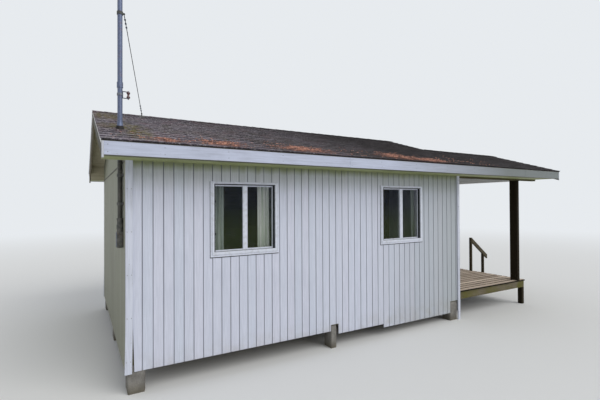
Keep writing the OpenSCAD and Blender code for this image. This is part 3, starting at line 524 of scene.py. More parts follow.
def node_mesh(node):
    """A CAD node's solids as one clean closed bmesh, its flat faces whole."""
    bm = bmesh.new()
    bm.from_mesh(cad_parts[node].data)
    bmesh.ops.remove_doubles(bm, verts=bm.verts, dist=1e-5)
    bmesh.ops.dissolve_limit(bm, angle_limit=math.radians(0.5), verts=bm.verts, edges=bm.edges)
    return bm


def islands(bm):
    """The separate solids of a bmesh as lists of vertices, in order of their lowest x, y and z."""
    left, found = set(bm.verts), []
    while left:
        stack, group = [left.pop()], []
        while stack:
            vert = stack.pop()
            group.append(vert)
            others = {edge.other_vert(vert) for edge in vert.link_edges} & left
            left -= others
            stack += others
        found.append(group)
    return sorted(found, key=lambda group: [round(v, 3) for v in corners(group)[0]])


def corners(verts):
    """Lowest and highest corner of some vertices."""
    return [Vector(pick(v.co[i] for v in verts) for i in range(3)) for pick in (min, max)]


def solid_boxes(node):
    """Lowest and highest corner of each solid of a CAD node, in order of x, y and z."""
    bm = node_mesh(node)
    boxes = [corners(group) for group in islands(bm)]
    bm.free()
    return boxes


def side_of(value):
    """-1 for what lies on the low side of the frame's middle, 1 for the high side."""
    return -1 if value < 0 else 1


def turn_outward(bm, faces=None):
    bmesh.ops.recalc_face_normals(bm, faces=faces or bm.faces)


def circle(steps, radius=1.0, start=0.0):
    turns = [2 * math.pi * i / steps + start for i in range(steps)]
    return [(radius * math.cos(a), radius * math.sin(a)) for a in turns]


def strip(bm, rows):
    """Faces between rows of vertices. A row may be one vertex repeated."""
    faces = []
    for a, b in zip(rows, rows[1:]):
        for quad in zip(a, a[1:], b[1:], b):
            loop = list(dict.fromkeys(quad))
            if len(loop) > 2:
                faces.append(bm.faces.new(loop))
    return faces


def bridge(bm, rings, closed=False, capped=False):
    """Faces between rings of vertices, on to the first ring again if closed, or with both ends filled if
    capped."""
    faces = strip(bm, [ring + ring[:1] for ring in (rings + rings[:1] if closed else rings)])
    if capped:
        faces += [bm.faces.new(rings[0][::-1]), bm.faces.new(rings[-1])]
    return faces


def add_box(bm, low, high):
    """A closed box between two corners; returns its faces."""
    matrix = Matrix.Translation((Vector(low) + Vector(high)) / 2)
    size = Vector(high) - Vector(low)
    made = bmesh.ops.create_cube(bm, size=1.0, matrix=matrix @ Matrix.Diagonal((*size, 1.0)))
    return list({face for vert in made["verts"] for face in vert.link_faces})


def ease(bm, faces, width, segments=2):
    """Rounds the sharp edges of some faces and returns every face of the result."""
    edges = {edge for face in faces for edge in face.edges if edge.calc_face_angle(0) > 0.3}
    made = bmesh.ops.bevel(bm, geom=list(edges), offset=width, offset_type="OFFSET", segments=segments,
                           profile=0.5, affect="EDGES", clamp_overlap=True)
    return [face for face in set(faces) | set(made["faces"]) if face.is_valid]


def add_board(bm, low, high, tone, edge=0.003):
    """A board with eased edges and a tone of its own."""
    set_tone(bm, ease(bm, add_box(bm, low, high), edge), tone)


def add_plank(bm, low, high, letter, parts, tone, edge, bend):
    """A board with eased long edges, made of parts along one axis and moved point by point by bend."""
    along = "XYZ".index(letter)
    a, b = [i for i in range(3) if i != along]
    low, high = Vector(low), Vector(high)
    a0, a1, b0, b1 = low[a], high[a], low[b], high[b]
    section = [(a0, b1 - edge), (a0 + edge, b1), (a1 - edge, b1), (a1, b1 - edge),
               (a1, b0 + edge), (a1 - edge, b0), (a0 + edge, b0), (a0, b0 + edge)]
    rings = []
    for i in range(parts + 1):
        ring = []
        for values in section:
            point = Vector((0, 0, 0))
            point[a], point[b] = values
            point[along] = low[along] + (high[along] - low[along]) * i / parts
            ring.append(bm.verts.new(point + bend(point)))
        rings.append(ring)
    faces = bridge(bm, rings, capped=True)
    set_tone(bm, faces, tone)
    turn_outward(bm, faces)


def subtract(bm, cutter):
    """The solids of bm less those of cutter. Both bmeshes are used up."""
    target, tool = [link_mesh("cut", source, None) for source in (bm, cutter)]
    cut = target.modifiers.new("cut", "BOOLEAN")
    cut.operation = "DIFFERENCE"
    cut.solver = "EXACT"
    cut.object = tool
    bpy.context.view_layer.update()
    result = bmesh.new()
    result.from_mesh(target.evaluated_get(bpy.context.evaluated_depsgraph_get()).data)
    for obj in (target, tool):
        mesh = obj.data
        bpy.data.objects.remove(obj)
        bpy.data.meshes.remove(mesh)
    return result


def eased_mesh(node, edge, rng):
    """A CAD node with its edges rounded and a tone for each of its solids."""
    bm = node_mesh(node)
    bm.faces.layers.float.new("tone")
    ease(bm, list(bm.faces), edge)
    for group in islands(bm):
        set_tone(bm, {face for vert in group for face in vert.link_faces}, rng.random())
    return bm


def dress_eased(node, finish, slot, edge, seed):
    """Shows a CAD node with rounded edges and a tone for each of its solids."""
    make_piece(node + "_dressed", eased_mesh(node, edge, random.Random(seed)), finish, node, slot)


def dress_node(node, finish):
    """Gives a CAD node that keeps its shape its finish."""
    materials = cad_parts[node].data.materials
    materials.clear()
    materials.append(FINISH[finish])


def add_revolve(bm, profile, matrix, steps=32, closed=False):
    """Turns a profile of (radius, height) points round the z axis of a matrix."""
    rings = []
    for radius, height in profile:
        points = circle(steps, radius) if radius > 1e-6 else [(0, 0)]
        ring = [bm.verts.new(matrix @ Vector((x, y, height))) for x, y in points]
        rings.append(ring if len(ring) > 1 else ring * steps)
    bridge(bm, rings, closed)


def upright(x, y, z):
    return Matrix.Translation((x, y, z))


def add_tube(bm, points, radius, sides=8):
    """A closed tube along a line of points."""
    rings, side = [], None
    for i, point in enumerate(points):
        ahead = (points[min(i + 1, len(points) - 1)] - points[max(i - 1, 0)]).normalized()
        if side is None:
            side = ahead.orthogonal().normalized()
        side = (side - ahead * side.dot(ahead)).normalized()
        other = ahead.cross(side)
        rings.append([bm.verts.new(point + side * x + other * y) for x, y in circle(sides, radius)])
    bridge(bm, rings, capped=True)


def turned_to(axis):
    """A turn that brings the z axis to another."""
    return Vector((0, 0, 1)).rotation_difference(Vector(axis)).to_matrix().to_4x4()


def nail_heads(bm, places, axis, radius=0.0035):
    """Flat nail heads at places, facing along a signed axis such as (0, -1, 0)."""
    head = [(0, -0.002), (radius, -0.002), (radius, 0.0004), (radius * 0.7, 0.001), (0, 0.0012)]
    for place in places:
        add_revolve(bm, head, upright(*place) @ turned_to(axis), 8)


def places_along(start, end, pitch):
    """Values from start to just short of end, a pitch apart."""
    return [start + pitch * i for i in range(max(0, math.ceil((end - start) / pitch)))]


def lengths_along(start, end, first, length, least):
    """The boards that fill a run, as pairs of ends: a first one, then others, none shorter than least."""
    while start < end - 0.02:
        stop = min(end, start + first)
        if end - stop < least:
            stop = end
        yield start, stop
        start, first = stop, length


# Walls


def groove_cutter(letter, face, inward, span):
    """Thin boxes, one for each groove of a wall that runs along x or y, clear of its ends."""
    bm = bmesh.new()
    end_clear, proud = 0.02, 0.01
    start = WALL_LOW["XYZ".index(letter)] + GROOVE_START
    for i in range(int((span[1] - start) / GROOVE_PITCH) + 1):
        at = start + GROOVE_PITCH * i
        if span[0] + end_clear < at < span[1] - end_clear:
            along = (at - GROOVE_W / 2, at + GROOVE_W / 2)
            depth = sorted((face - inward * proud, face + inward * GROOVE_D))
            x, y = (along, depth) if letter == "X" else (depth, along)
            add_box(bm, (x[0], y[0], 0.0), (x[1], y[1], GROOVE_TOP))
    return bm


def corner_gap_cutter():
    """A wedge at the foot of the front wall where the siding has pulled away from the corner board."""
    bm = bmesh.new()
    board = solid_boxes("corner_boards")[0][1].x
    foot, top = 0.1, 0.86
    points = [(board - 0.004, top), (board - 0.016, foot), (board + 0.018, foot)]
    rings = [[bm.verts.new((x, y, z)) for x, z in points] for y in (Y0 - 0.02, Y0 + 0.03)]
    turn_outward(bm, bridge(bm, rings, capped=True))
    return bm


def build_siding():
    """Grooved panels on all four walls, on both gables and on the porch's gable."""
    def grooved(name, solids, finish, node, *groove):
        wall = subtract(solids, groove_cutter(*groove))
        if name == "front_siding":
            wall = subtract(wall, corner_gap_cutter())
        make_piece(name + "_grooved", wall, finish, node, "white_siding")
    for node, face, inward in (("front_siding", Y0, 1), ("back_siding", Y1, -1)):
        grooved(node, node_mesh(node), "front_paint", node, "X", face, inward, (X0, X1))
    for end, face, inward, finish in (("left", X0, 1, "shaded_gable_paint"), ("right", X1, -1, "end_paint")):
        gable = node_mesh("gable_siding")
        bmesh.ops.delete(gable, geom=[v for v in gable.verts if v.co.x * face < 0], context="VERTS")
        node = end + "_siding"
        grooved(end + "_gable", gable, finish, "gable_siding", "Y", face, inward, (Y0, Y1))
        grooved(node, node_mesh(node), finish, node, "Y", face, inward, (Y0, Y1))
    node = "porch_gable"
    low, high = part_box(node)
    grooved(node, node_mesh(node), "end_paint", node, "Y", high.x, -1, (low.y, high.y))


def build_flashings():
    """Bent drip flashings over the joint between the end walls and their gables: a lip and a flat."""
    bm = bmesh.new()
    lip_drop, flat_depth = 0.014, 0.015
    for low, high in solid_boxes("gable_flashings"):
        out = side_of(low.x)
        wall = X0 if out < 0 else X1
        for near, far, foot in ((0.0005, 0.0045, low.z - lip_drop), (-flat_depth, 0.0, low.z)):
            x = sorted((wall + out * near, wall + out * far))
            add_box(bm, (x[0], low.y, foot), (x[1], high.y, high.z))
    make_piece("drip_flashings", bm, "rake_trim", "gable_flashings", "galvanised")


def build_corner_boards():
    """Corner boards with dents and rows of nails. At the left end their free lower ends have warped."""
    bm, nails = toned_mesh(), bmesh.new()
    rng = random.Random(11)
    bent_below, most_bent, row_pitch, nail_in = 0.9, 0.013, 0.42, 0.014
    for low, high in solid_boxes("corner_boards"):
        left_end, out = low.x < 0, side_of(low.y)
        middle = (low.y + high.y) / 2

        def warp(z):
            bent = most_bent * max(0.0, (bent_below - z) / bent_below) ** 1.5 if left_end else 0.0
            return 0.0015 * noise.noise((z * 3, low.y, low.x)) - bent

        def dent(p):
            depth = max(0.0, noise.noise((p.z * 5.5, p.x * 9, low.y))) * (0.006 if left_end else 0.002)
            return Vector((warp(p.z), -out * depth if p.y * out > middle * out else 0.0, 0))
        add_plank(bm, low, high, "Z", 44, rng.random(), 0.003, dent)
        y = low.y if out < 0 else high.y
        places = [(x + warp(z), y, z) for z in places_along(low.z + 0.12, high.z, row_pitch)
                  for x in (low.x + nail_in, high.x - nail_in)]
        nail_heads(nails, places, (0, out, 0))
    make_piece("corner_boards_warped", bm, "upright_trim", "corner_boards", "white_trim")
    make_piece("corner_board_nails", nails, "iron_metal", None, "dark_iron")


# Windows and door


def rectangle(low, high):
    return [(low.x, low.z), (high.x, low.z), (high.x, high.z), (low.x, high.z)]


def add_window_frame(bm, box, opening, face, out, depth):
    """One frame: an outer flange, a step, the raised casing and the deep jamb inside the wall. Its profile
    is given as shares of the way from the outer to the inner edge, and depths off the wall's face."""
    lap = FRAME_LAP / (opening[0].x - box[0].x)
    flange, step, lip = FRAME_PROUD - 0.006, FRAME_PROUD - 0.010, FRAME_PROUD - 0.003
    profile = [(0, 0), (0, flange), (0.30, flange), (0.33, step), (0.40, step), (0.43, FRAME_PROUD),
               (0.93, FRAME_PROUD), (1, lip), (1, -depth), (lap, -depth), (lap, 0)]
    rings = [[bm.verts.new((ox + (ix - ox) * t, face + out * d, oz + (iz - oz) * t)) for t, d in profile]
             for (ox, oz), (ix, iz) in zip(rectangle(*box), rectangle(*opening))]
    turn_outward(bm, bridge(bm, rings, closed=True))


def add_shadow_strips(bm, box, opening, face, out):
    """Dark strips of painted shade in the shadow gaps: between jambs and sashes, in both tracks and round the
    frame's outer edge; and two small latches. Each has its reach along x and z, and its depths off the wall's
    face."""
    (low, high), rim = box, 0.0045
    left, right, sill, head = opening[0].x, opening[1].x, opening[0].z, opening[1].z
    strips = [((left, left + 0.012), (sill, head), (-0.008, 0.006)),
              ((right - 0.005, right), (sill, head), (-0.045, -0.003)),
              ((left, right), (head - 0.003, head + 0.008), (-0.008, FRAME_PROUD + 0.0006)),
              ((left, right), (sill, sill + 0.003), (-0.008, 0.0)),
              ((low.x - rim, low.x + 0.001), (low.z - rim, high.z), (-0.001, 0.003)),
              ((high.x - 0.001, high.x + rim * 0.6), (low.z - rim, high.z), (-0.001, 0.002)),
              ((low.x - rim, high.x + rim * 0.6), (low.z - 2 * rim, low.z + 0.001), (-0.001, 0.004))]
    strips += [((left + 0.002, left + 0.018), (sill + up - 0.012, sill + up + 0.012), (0.001, 0.008))
               for up in (0.195, 0.550)]
    for x, z, depths in strips:
        y = sorted(face + out * depth for depth in depths)
        add_board(bm, (x[0], y[0], z[0]), (x[1], y[1], z[1]), 0.5, SHADOW_STRIP_EDGE)


def add_sash(bm, outer, inner, y, half):
    """One sash between its outer and inner rectangles, with a lip at both edges of its face and a bead
    that slopes to the glass. Half its thickness is negative where the outer face looks to -Y."""
    lift = math.copysign(0.001, half)
    centre = [sum(point[i] for point in inner) / 4 for i in range(2)]

    def ring(points, at, by=0.0):
        return [bm.verts.new((x + math.copysign(by, centre[0] - x), at, z + math.copysign(by, centre[1] - z)))
                for x, z in points]
    rings = [ring(outer, y - half), ring(outer, y + half), ring(outer, y + half + lift, 0.002),
             ring(inner, y + half + lift, 0.002), ring(inner, y + half), ring(inner, y + 3 * lift, 0.006),
             ring(inner, y - 3 * lift, 0.006), ring(inner, y - half)]
    turn_outward(bm, bridge(bm, rings, closed=True))


def build_windows():
    """Mitred frames with a stepped outer face, sliding sashes, dark strips of painted shade and small
    latches.
    """
    frames, sashes, shadow_strips = bmesh.new(), bmesh.new(), toned_mesh()
    leaves, panes = solid_boxes("window_sashes"), solid_boxes("window_glass")
    inner_track = Y1 - 0.035
    for low, high in solid_boxes("window_frames"):
        out = side_of(low.y)
        face, inner = (Y0, high.y) if out < 0 else (Y1, low.y)
        own = [leaf for leaf in leaves if low.x < leaf[0].x < high.x and leaf[0].y * out > 0]
        opening = [Vector(pick(leaf[k][i] for leaf in own) for i in range(3))
                   for k, pick in ((0, min), (1, max))]
        add_window_frame(frames, (low, high), opening, face, out, abs(inner - face))
        add_shadow_strips(shadow_strips, (low, high), opening, face, out)
    for low, high in leaves:
        y, half = (low.y + high.y) / 2, (high.y - low.y) / 2
        out = side_of(y)
        pane = next(pane for pane in panes if low.x < pane[0].x < high.x and low.y < pane[0].y < high.y)
        add_sash(sashes, rectangle(low, high), rectangle(*pane), y, half * out)
        # A dark strip of painted shade over the sash's stile beside its glass.
        if abs(y) < inner_track:
            depth = sorted((y + out * half, y + out * (half + 0.003)))
            add_board(shadow_strips, (pane[1].x - 0.002, depth[0], low.z), (high.x, depth[1], high.z), 0.5, SHADOW_STRIP_EDGE)
    make_piece("window_frames_moulded", frames, "window_vinyl", "window_frames", "window_white")
    make_piece("window_sashes_moulded", sashes, "window_vinyl", "window_sashes", "window_white")
    make_piece("window_shadow_strips", shadow_strips, "shadow_strip_rubber", None, "dark_iron")
    dress_node("window_glass", "pane_glass")


def build_curtains():
    """Gathered curtains: each is one sheet laid in folds."""
    fold_w, points_per_fold, rows, hem = 0.047, 10, 18, 0.004
    for number, (low, high) in enumerate(solid_boxes("curtains")):
        rng = random.Random(40 + number)
        pulled_back = 0.030 if number == 1 else 0.0
        width = high.x - low.x - pulled_back - hem
        folds = max(2, round(width / fold_w))
        depth = (high.y - low.y) / 2 - hem
        columns = folds * points_per_fold
        swing = [rng.uniform(0.55, 1.0) for _ in range(folds + 2)]
        bm = bmesh.new()
        grid = []
        for row in range(rows + 1):
            down = row / rows
            line = []
            for column in range(columns + 1):
                across = column / columns
                fold = across * folds
                size = swing[int(fold)] * (1 - fold % 1) + swing[int(fold) + 1] * (fold % 1)
                wave = math.sin(2 * math.pi * fold + 0.5 * math.sin(2.2 * down + number))
                drift = hem * math.sin(5 * down + fold) * math.sin(math.pi * across)
                y = (low.y + high.y) / 2 + depth * (0.70 + 0.25 * down) * size * wave
                x = low.x + hem + (width - hem) * across + drift
                line.append(bm.verts.new((x, y, high.z - down * (high.z - low.z))))
            grid.append(line)
        strip(bm, grid)
        middle = grid[rows // 2]
        flat_width = sum((a.co - b.co).length for a, b in zip(middle, middle[1:]))
        finish = "thin_cloth" if number == 1 else "grey_cloth"
        curtain = make_piece(f"curtain_{number + 1}", bm, finish, None, "cloth", smooth=180)
        solid = curtain.modifiers.new("cloth_thickness", "SOLIDIFY")
        solid.thickness, solid.offset = 0.0012, 0.0
        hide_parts("curtains")
    dress_node("curtain_rods", "iron_metal")


def build_door():
    """A boarded door under the porch: a core, upright boards on both faces and three ledges."""
    low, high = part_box("door_leaf")
    bm = toned_mesh()
    rng = random.Random(5)
    boards, skin, ledge, gap = 7, 0.010, 0.004, 0.0008
    pitch = (high.y - low.y) / boards
    add_board(bm, (low.x + skin, low.y, low.z), (high.x - skin, high.y, high.z), 0.5, 0.001)
    for x0, x1 in ((low.x, low.x + skin), (high.x - skin, high.x - ledge)):
        for y in places_along(low.y, high.y - gap, pitch):
            add_board(bm, (x0, y + gap, low.z), (x1, y + pitch - gap, high.z), rng.random(), 0.0022)
    for z in (low.z + 0.12, (low.z + high.z) / 2, high.z - 0.24):
        ledge_high = (high.x, high.y - 0.02, z + 0.13)
        add_board(bm, (high.x - ledge, low.y + 0.02, z), ledge_high, rng.random(), 0.0015)
    make_piece("door_leaf_boarded", bm, "upright_trim", "door_leaf", "white_trim")
    dress_eased("door_frame", "upright_trim", "white_trim", 0.002, 1)
    dress_node("door_hinges", "zinc_fittings")
    dress_node("door_knobs", "turned_brass")


# Roofs


def slope_place(y_eave, across, flip):
    """Maps (along the ridge, up the slope, off the boards) to the frame, for one slope.

    across is the y of the slope's own ridge; a flipped slope is the mirror of the front one."""
    def place(t, s, h):
        y = y_eave + s * COS - h * SIN
        z = roof_z(y_eave) + s * SIN + h * COS
        return Vector((t, 2 * across - y if flip else y, z))
    return place


def add_slope_box(bm, place, along, up, off):
    """A closed box whose sides follow a slope: along the ridge, up the slope and off its boards."""
    (t0, t1), (s0, s1) = along, up
    rings = [[bm.verts.new(place(t, s, h)) for t, s in ((t0, s0), (t1, s0), (t1, s1), (t0, s1))] for h in off]
    faces = bridge(bm, rings, capped=True)
    turn_outward(bm, faces)
    return faces


def add_tab(bm, place, t0, t1, s0, s_top, seed):
    """One shingle tab: a thin wedge whose lower edge stands on the course below, a little curled."""
    rng = random.Random(seed)
    tone = min(1.0, max(0.0, rng.gauss(0.5, 0.28)))
    curl = [rng.uniform(0.0, 0.0040) for _ in range(3)]
    reach = min(EXPOSURE + TAB_LAP, s_top - s0)
    slip = rng.uniform(-0.004, 0.004)
    across, along = 2, 3
    sides = []
    for thick in (0.0, TAB_T):
        rows = []
        for up in (i / along for i in range(along + 1)):
            s = s0 + slip * (1 - up) + up * reach
            lift = TAB_T * (1 - up) + 0.0008 * up
            row = []
            for j in range(across + 1):
                wave = curl[j] * max(0.0, 1 - 2.2 * up) + 0.0007 * rng.random()
                off = lift + wave + thick * (1 - 0.4 * up)
                row.append(bm.verts.new(place(t0 + (t1 - t0) * j / across, s, off)))
            rows.append(row)
        sides.append(rows)
    under, top = sides
    left, right = [[[row[j] for row in rows[::-1]] for rows in sides] for j in (0, across)]
    broad = strip(bm, top) + strip(bm, [row[::-1] for row in under]) + strip(bm, [top[-1], under[-1]])
    set_tone(bm, broad, tone)
    # The cut edges get a lower tone as painted shade.
    edges = strip(bm, left) + strip(bm, right[::-1]) + strip(bm, [under[0], top[0]])
    set_tone(bm, edges, tone * EDGE_SHADE)


def add_courses(bm, place, spans, slope_len, seed):
    """Courses of tabs up a slope; spans(s) gives where a course starts and ends along the ridge."""
    for course in range(math.ceil((slope_len - 0.06) / EXPOSURE)):
        s0 = course * EXPOSURE
        start, end = spans(s0)
        first_joint = X0 + (course % 2) * TAB_W / 2 + 0.03 * math.sin(course * 2.1)
        first, last = [math.floor((x - first_joint) / TAB_W) for x in (start, end)]
        for k in range(first, last + 1):
            t0 = max(start, first_joint + k * TAB_W + TAB_GAP / 2)
            t1 = min(end, first_joint + (k + 1) * TAB_W - TAB_GAP / 2)
            if t1 - t0 > 0.012:
                add_tab(bm, place, t0, t1, s0, slope_len, seed + course * 1000 + k)


def build_shingles():
    """Courses of tabs on all four slopes, over a dark underlay that shows in the slots between them."""
    main, porch = [(ridge - EAVE_Y) / COS for ridge in (MID, PORCH_MID)]
    start, seam, past_seam = ROOF_LOW.x - DRIP, ROOF_HIGH.x, ROOF_HIGH.x + DRIP
    end, clear, inset = PORCH_ROOF_X + DRIP, ROOF_HIGH.x + DRIP + 0.004, 0.004
    slopes = (
        ("shingles_front", (MID, False), (start + inset, seam), main, 100000,
         lambda s: (start, past_seam if s > porch else seam)),
        ("shingles_back", (MID, True), (start + inset, past_seam - inset), main, 200000,
         lambda s: (start, past_seam)),
        ("porch_shingles_front", (MID, False), (seam, end - inset), porch, 100000, lambda s: (seam, end)),
        ("porch_shingles_back", (PORCH_MID, True), (clear, end - inset), porch, 300000,
         lambda s: (X1 + 0.006 if s < porch - 0.16 else clear, end)))
    for name, slope, under, length, seed, spans in slopes:
        node, side = name.rsplit("_", 1)
        place = slope_place(EAVE_Y, *slope)
        bm = toned_mesh()
        set_tone(bm, add_slope_box(bm, place, under, (inset, length - 0.001), UNDERLAY), 0.05)
        add_courses(bm, place, spans, length - inset, seed)
        turn_outward(bm)
        make_piece(name, bm, side + "_shingles", node, "shingle")


def add_cap(bm, t0, t1, y_ridge, lift, tone):
    """One folded cap shingle over a ridge, its front end standing on the next. Its section runs back
    along the underside and forward along the top."""
    columns = range(-4, 5)
    thick, off, round_off = 0.0045, 0.0095, 0.006
    rings = []
    for t, raised in ((t0, lift), ((t0 + t1) / 2, lift * 0.55), (t1, 0.0004)):
        ring = []
        for k, top in [(k, 0.0) for k in columns[::-1]] + [(k, thick) for k in columns]:
            along = k / 4 * CAP_WING
            z = roof_z(y_ridge) - abs(along) * SIN + (off + raised + top) / COS
            z -= round_off * max(0.0, 1 - abs(k) / 1.5)
            ring.append(bm.verts.new((t, y_ridge + along * COS, z)))
        rings.append(ring)
    count = len(columns)
    faces = bridge(bm, rings)
    ends = [face for ring in (rings[0], rings[-1][::-1])
            for face in strip(bm, [ring[count - 1::-1], ring[count:]])]
    # The cut edges get a lower tone as painted shade.
    set_tone(bm, faces + ends, tone * EDGE_SHADE)
    set_tone(bm, [face for number, face in enumerate(faces, 1) if number % count], tone)


def build_ridge_caps():
    """Cap shingles along both ridges, each lapping the next, from the left end on."""
    bm = toned_mesh()
    rng = random.Random(77)
    cap_pitch, cap_lap = 0.145, 1.35
    for start, end, y in ((ROOF_LOW.x - DRIP, ROOF_HIGH.x + DRIP, MID),
                          (ROOF_HIGH.x + DRIP + 0.002, PORCH_ROOF_X + DRIP, PORCH_MID)):
        count = round((end - start) / cap_pitch)
        step = (end - start) / count
        for t0 in (start + i * step for i in range(count)):
            t1 = min(end, t0 + step * cap_lap)
            add_cap(bm, t0, t1, y, rng.uniform(0.0035, 0.006), min(1, max(0, rng.gauss(0.42, 0.2))))
    turn_outward(bm)
    make_piece("ridge_caps_folded", bm, "back_shingles", "ridge_caps", "shingle")


def leaf_places(rng):
    """Where leaves lie: gathered in the drifts, and scattered thinly along the eave."""
    leaves_per_m2, scattered = 22000, 260
    for (x, y), (rx, ry) in DRIFTS:
        for _ in range(int(leaves_per_m2 * rx * ry)):
            angle, reach = rng.uniform(0, 2 * math.pi), min(1.3, abs(rng.gauss(0, 0.62)))
            px, py = x + rx * reach * math.cos(angle), y + ry * reach * math.sin(angle)
            clump = noise.noise((px * 11, py * 11, 0)) + 0.5 * noise.noise((px * 34, py * 34, 3))
            if clump > reach * 0.5 - 0.35:
                yield px, py
    for _ in range(scattered):
        yield rng.uniform(X0 - 0.15, X1 + 0.6), Y0 - 0.40 + abs(rng.gauss(0, 0.30))


def build_litter():
    """Dead cedar leaves on the front slope: each is two ends joined round a thin middle."""
    bm = toned_mesh()
    rng = random.Random(3)
    off = Vector((0, -SIN, COS))
    up = Vector((0, COS, SIN))
    past_eave, short_of_ridge, over_tabs = 0.012, 0.2, 0.0105
    for x, y in list(leaf_places(rng)):
        if not EAVE_Y + past_eave < y < MID - short_of_ridge or x <= ROOF_LOW.x:
            continue
        length, width = rng.uniform(0.014, 0.040), rng.uniform(0.003, 0.007)
        at = Vector((x, y, roof_z(y))) + off * (over_tabs + rng.uniform(0.0, 0.005))
        turn = rng.uniform(0, math.pi)
        along = Vector((1, 0, 0)) * math.cos(turn) + up * math.sin(turn)
        side = off.cross(along)
        tip = off * rng.uniform(-0.001, 0.004)
        foot, head = (bm.verts.new(at - along * length / 2), bm.verts.new(at + along * length / 2 + tip))
        middle = [bm.verts.new(at + step) for step in (side * width, -side * width, off * width * 0.8)]
        set_tone(bm, bridge(bm, [[foot] * 3, middle, [head] * 3]), rng.random())
    turn_outward(bm)
    make_piece("leaf_litter", bm, "leaf_litter", None, "shingle")


def build_roof_boards():
    """Roof boards that run along the ridge, parted by thin seams on their underside."""
    foot = ROOF_LOW.y
    for node, across, ends in (("roof_boards", MID, (ROOF_LOW.x - 0.1, ROOF_HIGH.x + 0.1)),
                               ("porch_roof_boards", PORCH_MID, (X1 - 0.1, PORCH_ROOF_X + 0.1))):
        boards = node_mesh(node)
        length = (across - foot) / COS - 0.05
        for flip in (False, True):
            seams = bmesh.new()
            for i in range(1, int(length / SEAM_PITCH) + 1):
                up = (i * SEAM_PITCH - SEAM_W / 2, i * SEAM_PITCH + SEAM_W / 2)
                add_slope_box(seams, slope_place(foot, across, flip), ends, up,
                              (-BOARD_T - 0.01, -BOARD_T + SEAM_D))
            boards = subtract(boards, seams)
        make_piece(node + "_planked", boards, "painted_planks", node, "raw_timber")


def build_eaves():
    """Fascias, rake boards, drip edges, soffit panels and the eaves' closed ends."""
    rng = random.Random(21)
    nails = build_fascias(rng)
    build_rake_edges()
    make_piece("rake_boards_eased", eased_mesh("rake_boards", 0.0025, rng), "rake_trim", "rake_boards",
               "white_trim")
    build_drip_edges()
    panels, returns = toned_mesh(), toned_mesh()
    sheet_len, gap = 2.44, 0.0012
    for low, high in solid_boxes("soffits"):
        for x, end in lengths_along(low.x, high.x, sheet_len, sheet_len, 0):
            add_board(panels, (x + gap, low.y, low.z), (end - gap, high.y, high.z), rng.random(), 0.0012)
    make_piece("soffit_panels", panels, "soffit_paint", "soffits", "white_trim")
    make_piece("eave_nails", nails, "iron_metal", None, "dark_iron")
    thick, trim = 0.010, 0.019
    foot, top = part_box("soffits")[1].z - 0.009, roof_z(Y0) - BOARD_T / COS - 0.002
    left, right = (ROOF_LOW.x + trim, X0), (X1, ROOF_HIGH.x - trim)
    for y0, (x0, x1) in ((Y0, left), (Y1 - thick, left), (Y1 - thick, right)):
        add_board(returns, (x0, y0, foot), (x1, y0 + thick, top), rng.random(), 0.001)
    make_piece("eave_returns", returns, "painted_planks", None, "white_trim")


def build_fascias(rng):
    """Fascias in lengths with butt joints; returns the nails at their ends and along both edges."""
    bm, nails = toned_mesh(), bmesh.new()
    first, length, joint, nail_pitch = 2.62, 3.66, 0.001, 0.61
    for low, high in solid_boxes("fascias"):
        out = -1 if abs(low.y - ROOF_LOW.y) < 0.01 else 1
        face = low.y if out < 0 else high.y
        for x, end in lengths_along(low.x, high.x, first, length, 0.5):
            start = x + joint if x > low.x else x
            add_board(bm, (start, low.y, low.z), (end - joint, high.y, high.z), rng.random(), 0.0025)
            places = [(px, face, pz) for px in (x + 0.03, end - 0.03)
                      for pz in (low.z + 0.025, high.z - 0.03)]
            places += [(px, face, pz) for px in places_along(x + 0.5, end - 0.3, nail_pitch)
                       for pz in (low.z + 0.03, high.z - 0.03)]
            nail_heads(nails, places, (0, out, 0))
    make_piece("fascia_boards", bm, "level_trim", "fascias", "white_trim")
    return nails


def build_rake_edges():
    """Folded white strips over the upper edge of the rake boards."""
    bm = bmesh.new()
    for low, high in solid_boxes("rake_boards"):
        face, out = (low.x, -1) if low.x < 0 else (high.x, 1)
        across = PORCH_MID if low.x > ROOF_HIGH.x + 0.1 else MID
        back = (low.y + high.y) / 2 > across
        near, far = (2 * across - high.y, 2 * across - low.y) if back else (low.y, high.y)
        run = [(y - ROOF_LOW.y) / COS for y in (near, far)]
        add_slope_box(bm, slope_place(ROOF_LOW.y, across, back), sorted((face, face + out * 0.004)), run,
                      (-0.034, -0.001))
    make_piece("rake_edges", bm, "rake_edge_paint", None, "white_trim")


def build_drip_edges():
    """Dark metal strips along the eaves, under the shingles, whose dark colour is partly painted shadow under
    the shingles' edge.
    """
    bm = toned_mesh()
    top = roof_z(ROOF_LOW.y)
    for y, x0, x1, out in ((ROOF_LOW.y, ROOF_LOW.x, PORCH_ROOF_X, -1),
                           (ROOF_HIGH.y, ROOF_LOW.x, ROOF_HIGH.x, 1),
                           (2 * PORCH_MID - ROOF_LOW.y, X1 + 0.001, PORCH_ROOF_X, 1)):
        lip = sorted((y, y + out * 0.0035))
        add_board(bm, (x0 - 0.003, lip[0], top - 0.011), (x1 + 0.003, lip[1], top - 0.001), 0.5, 0.0008)
    make_piece("drip_edges", bm, "drip_edge_paint", None, "dark_iron")


# Porch, deck and stair


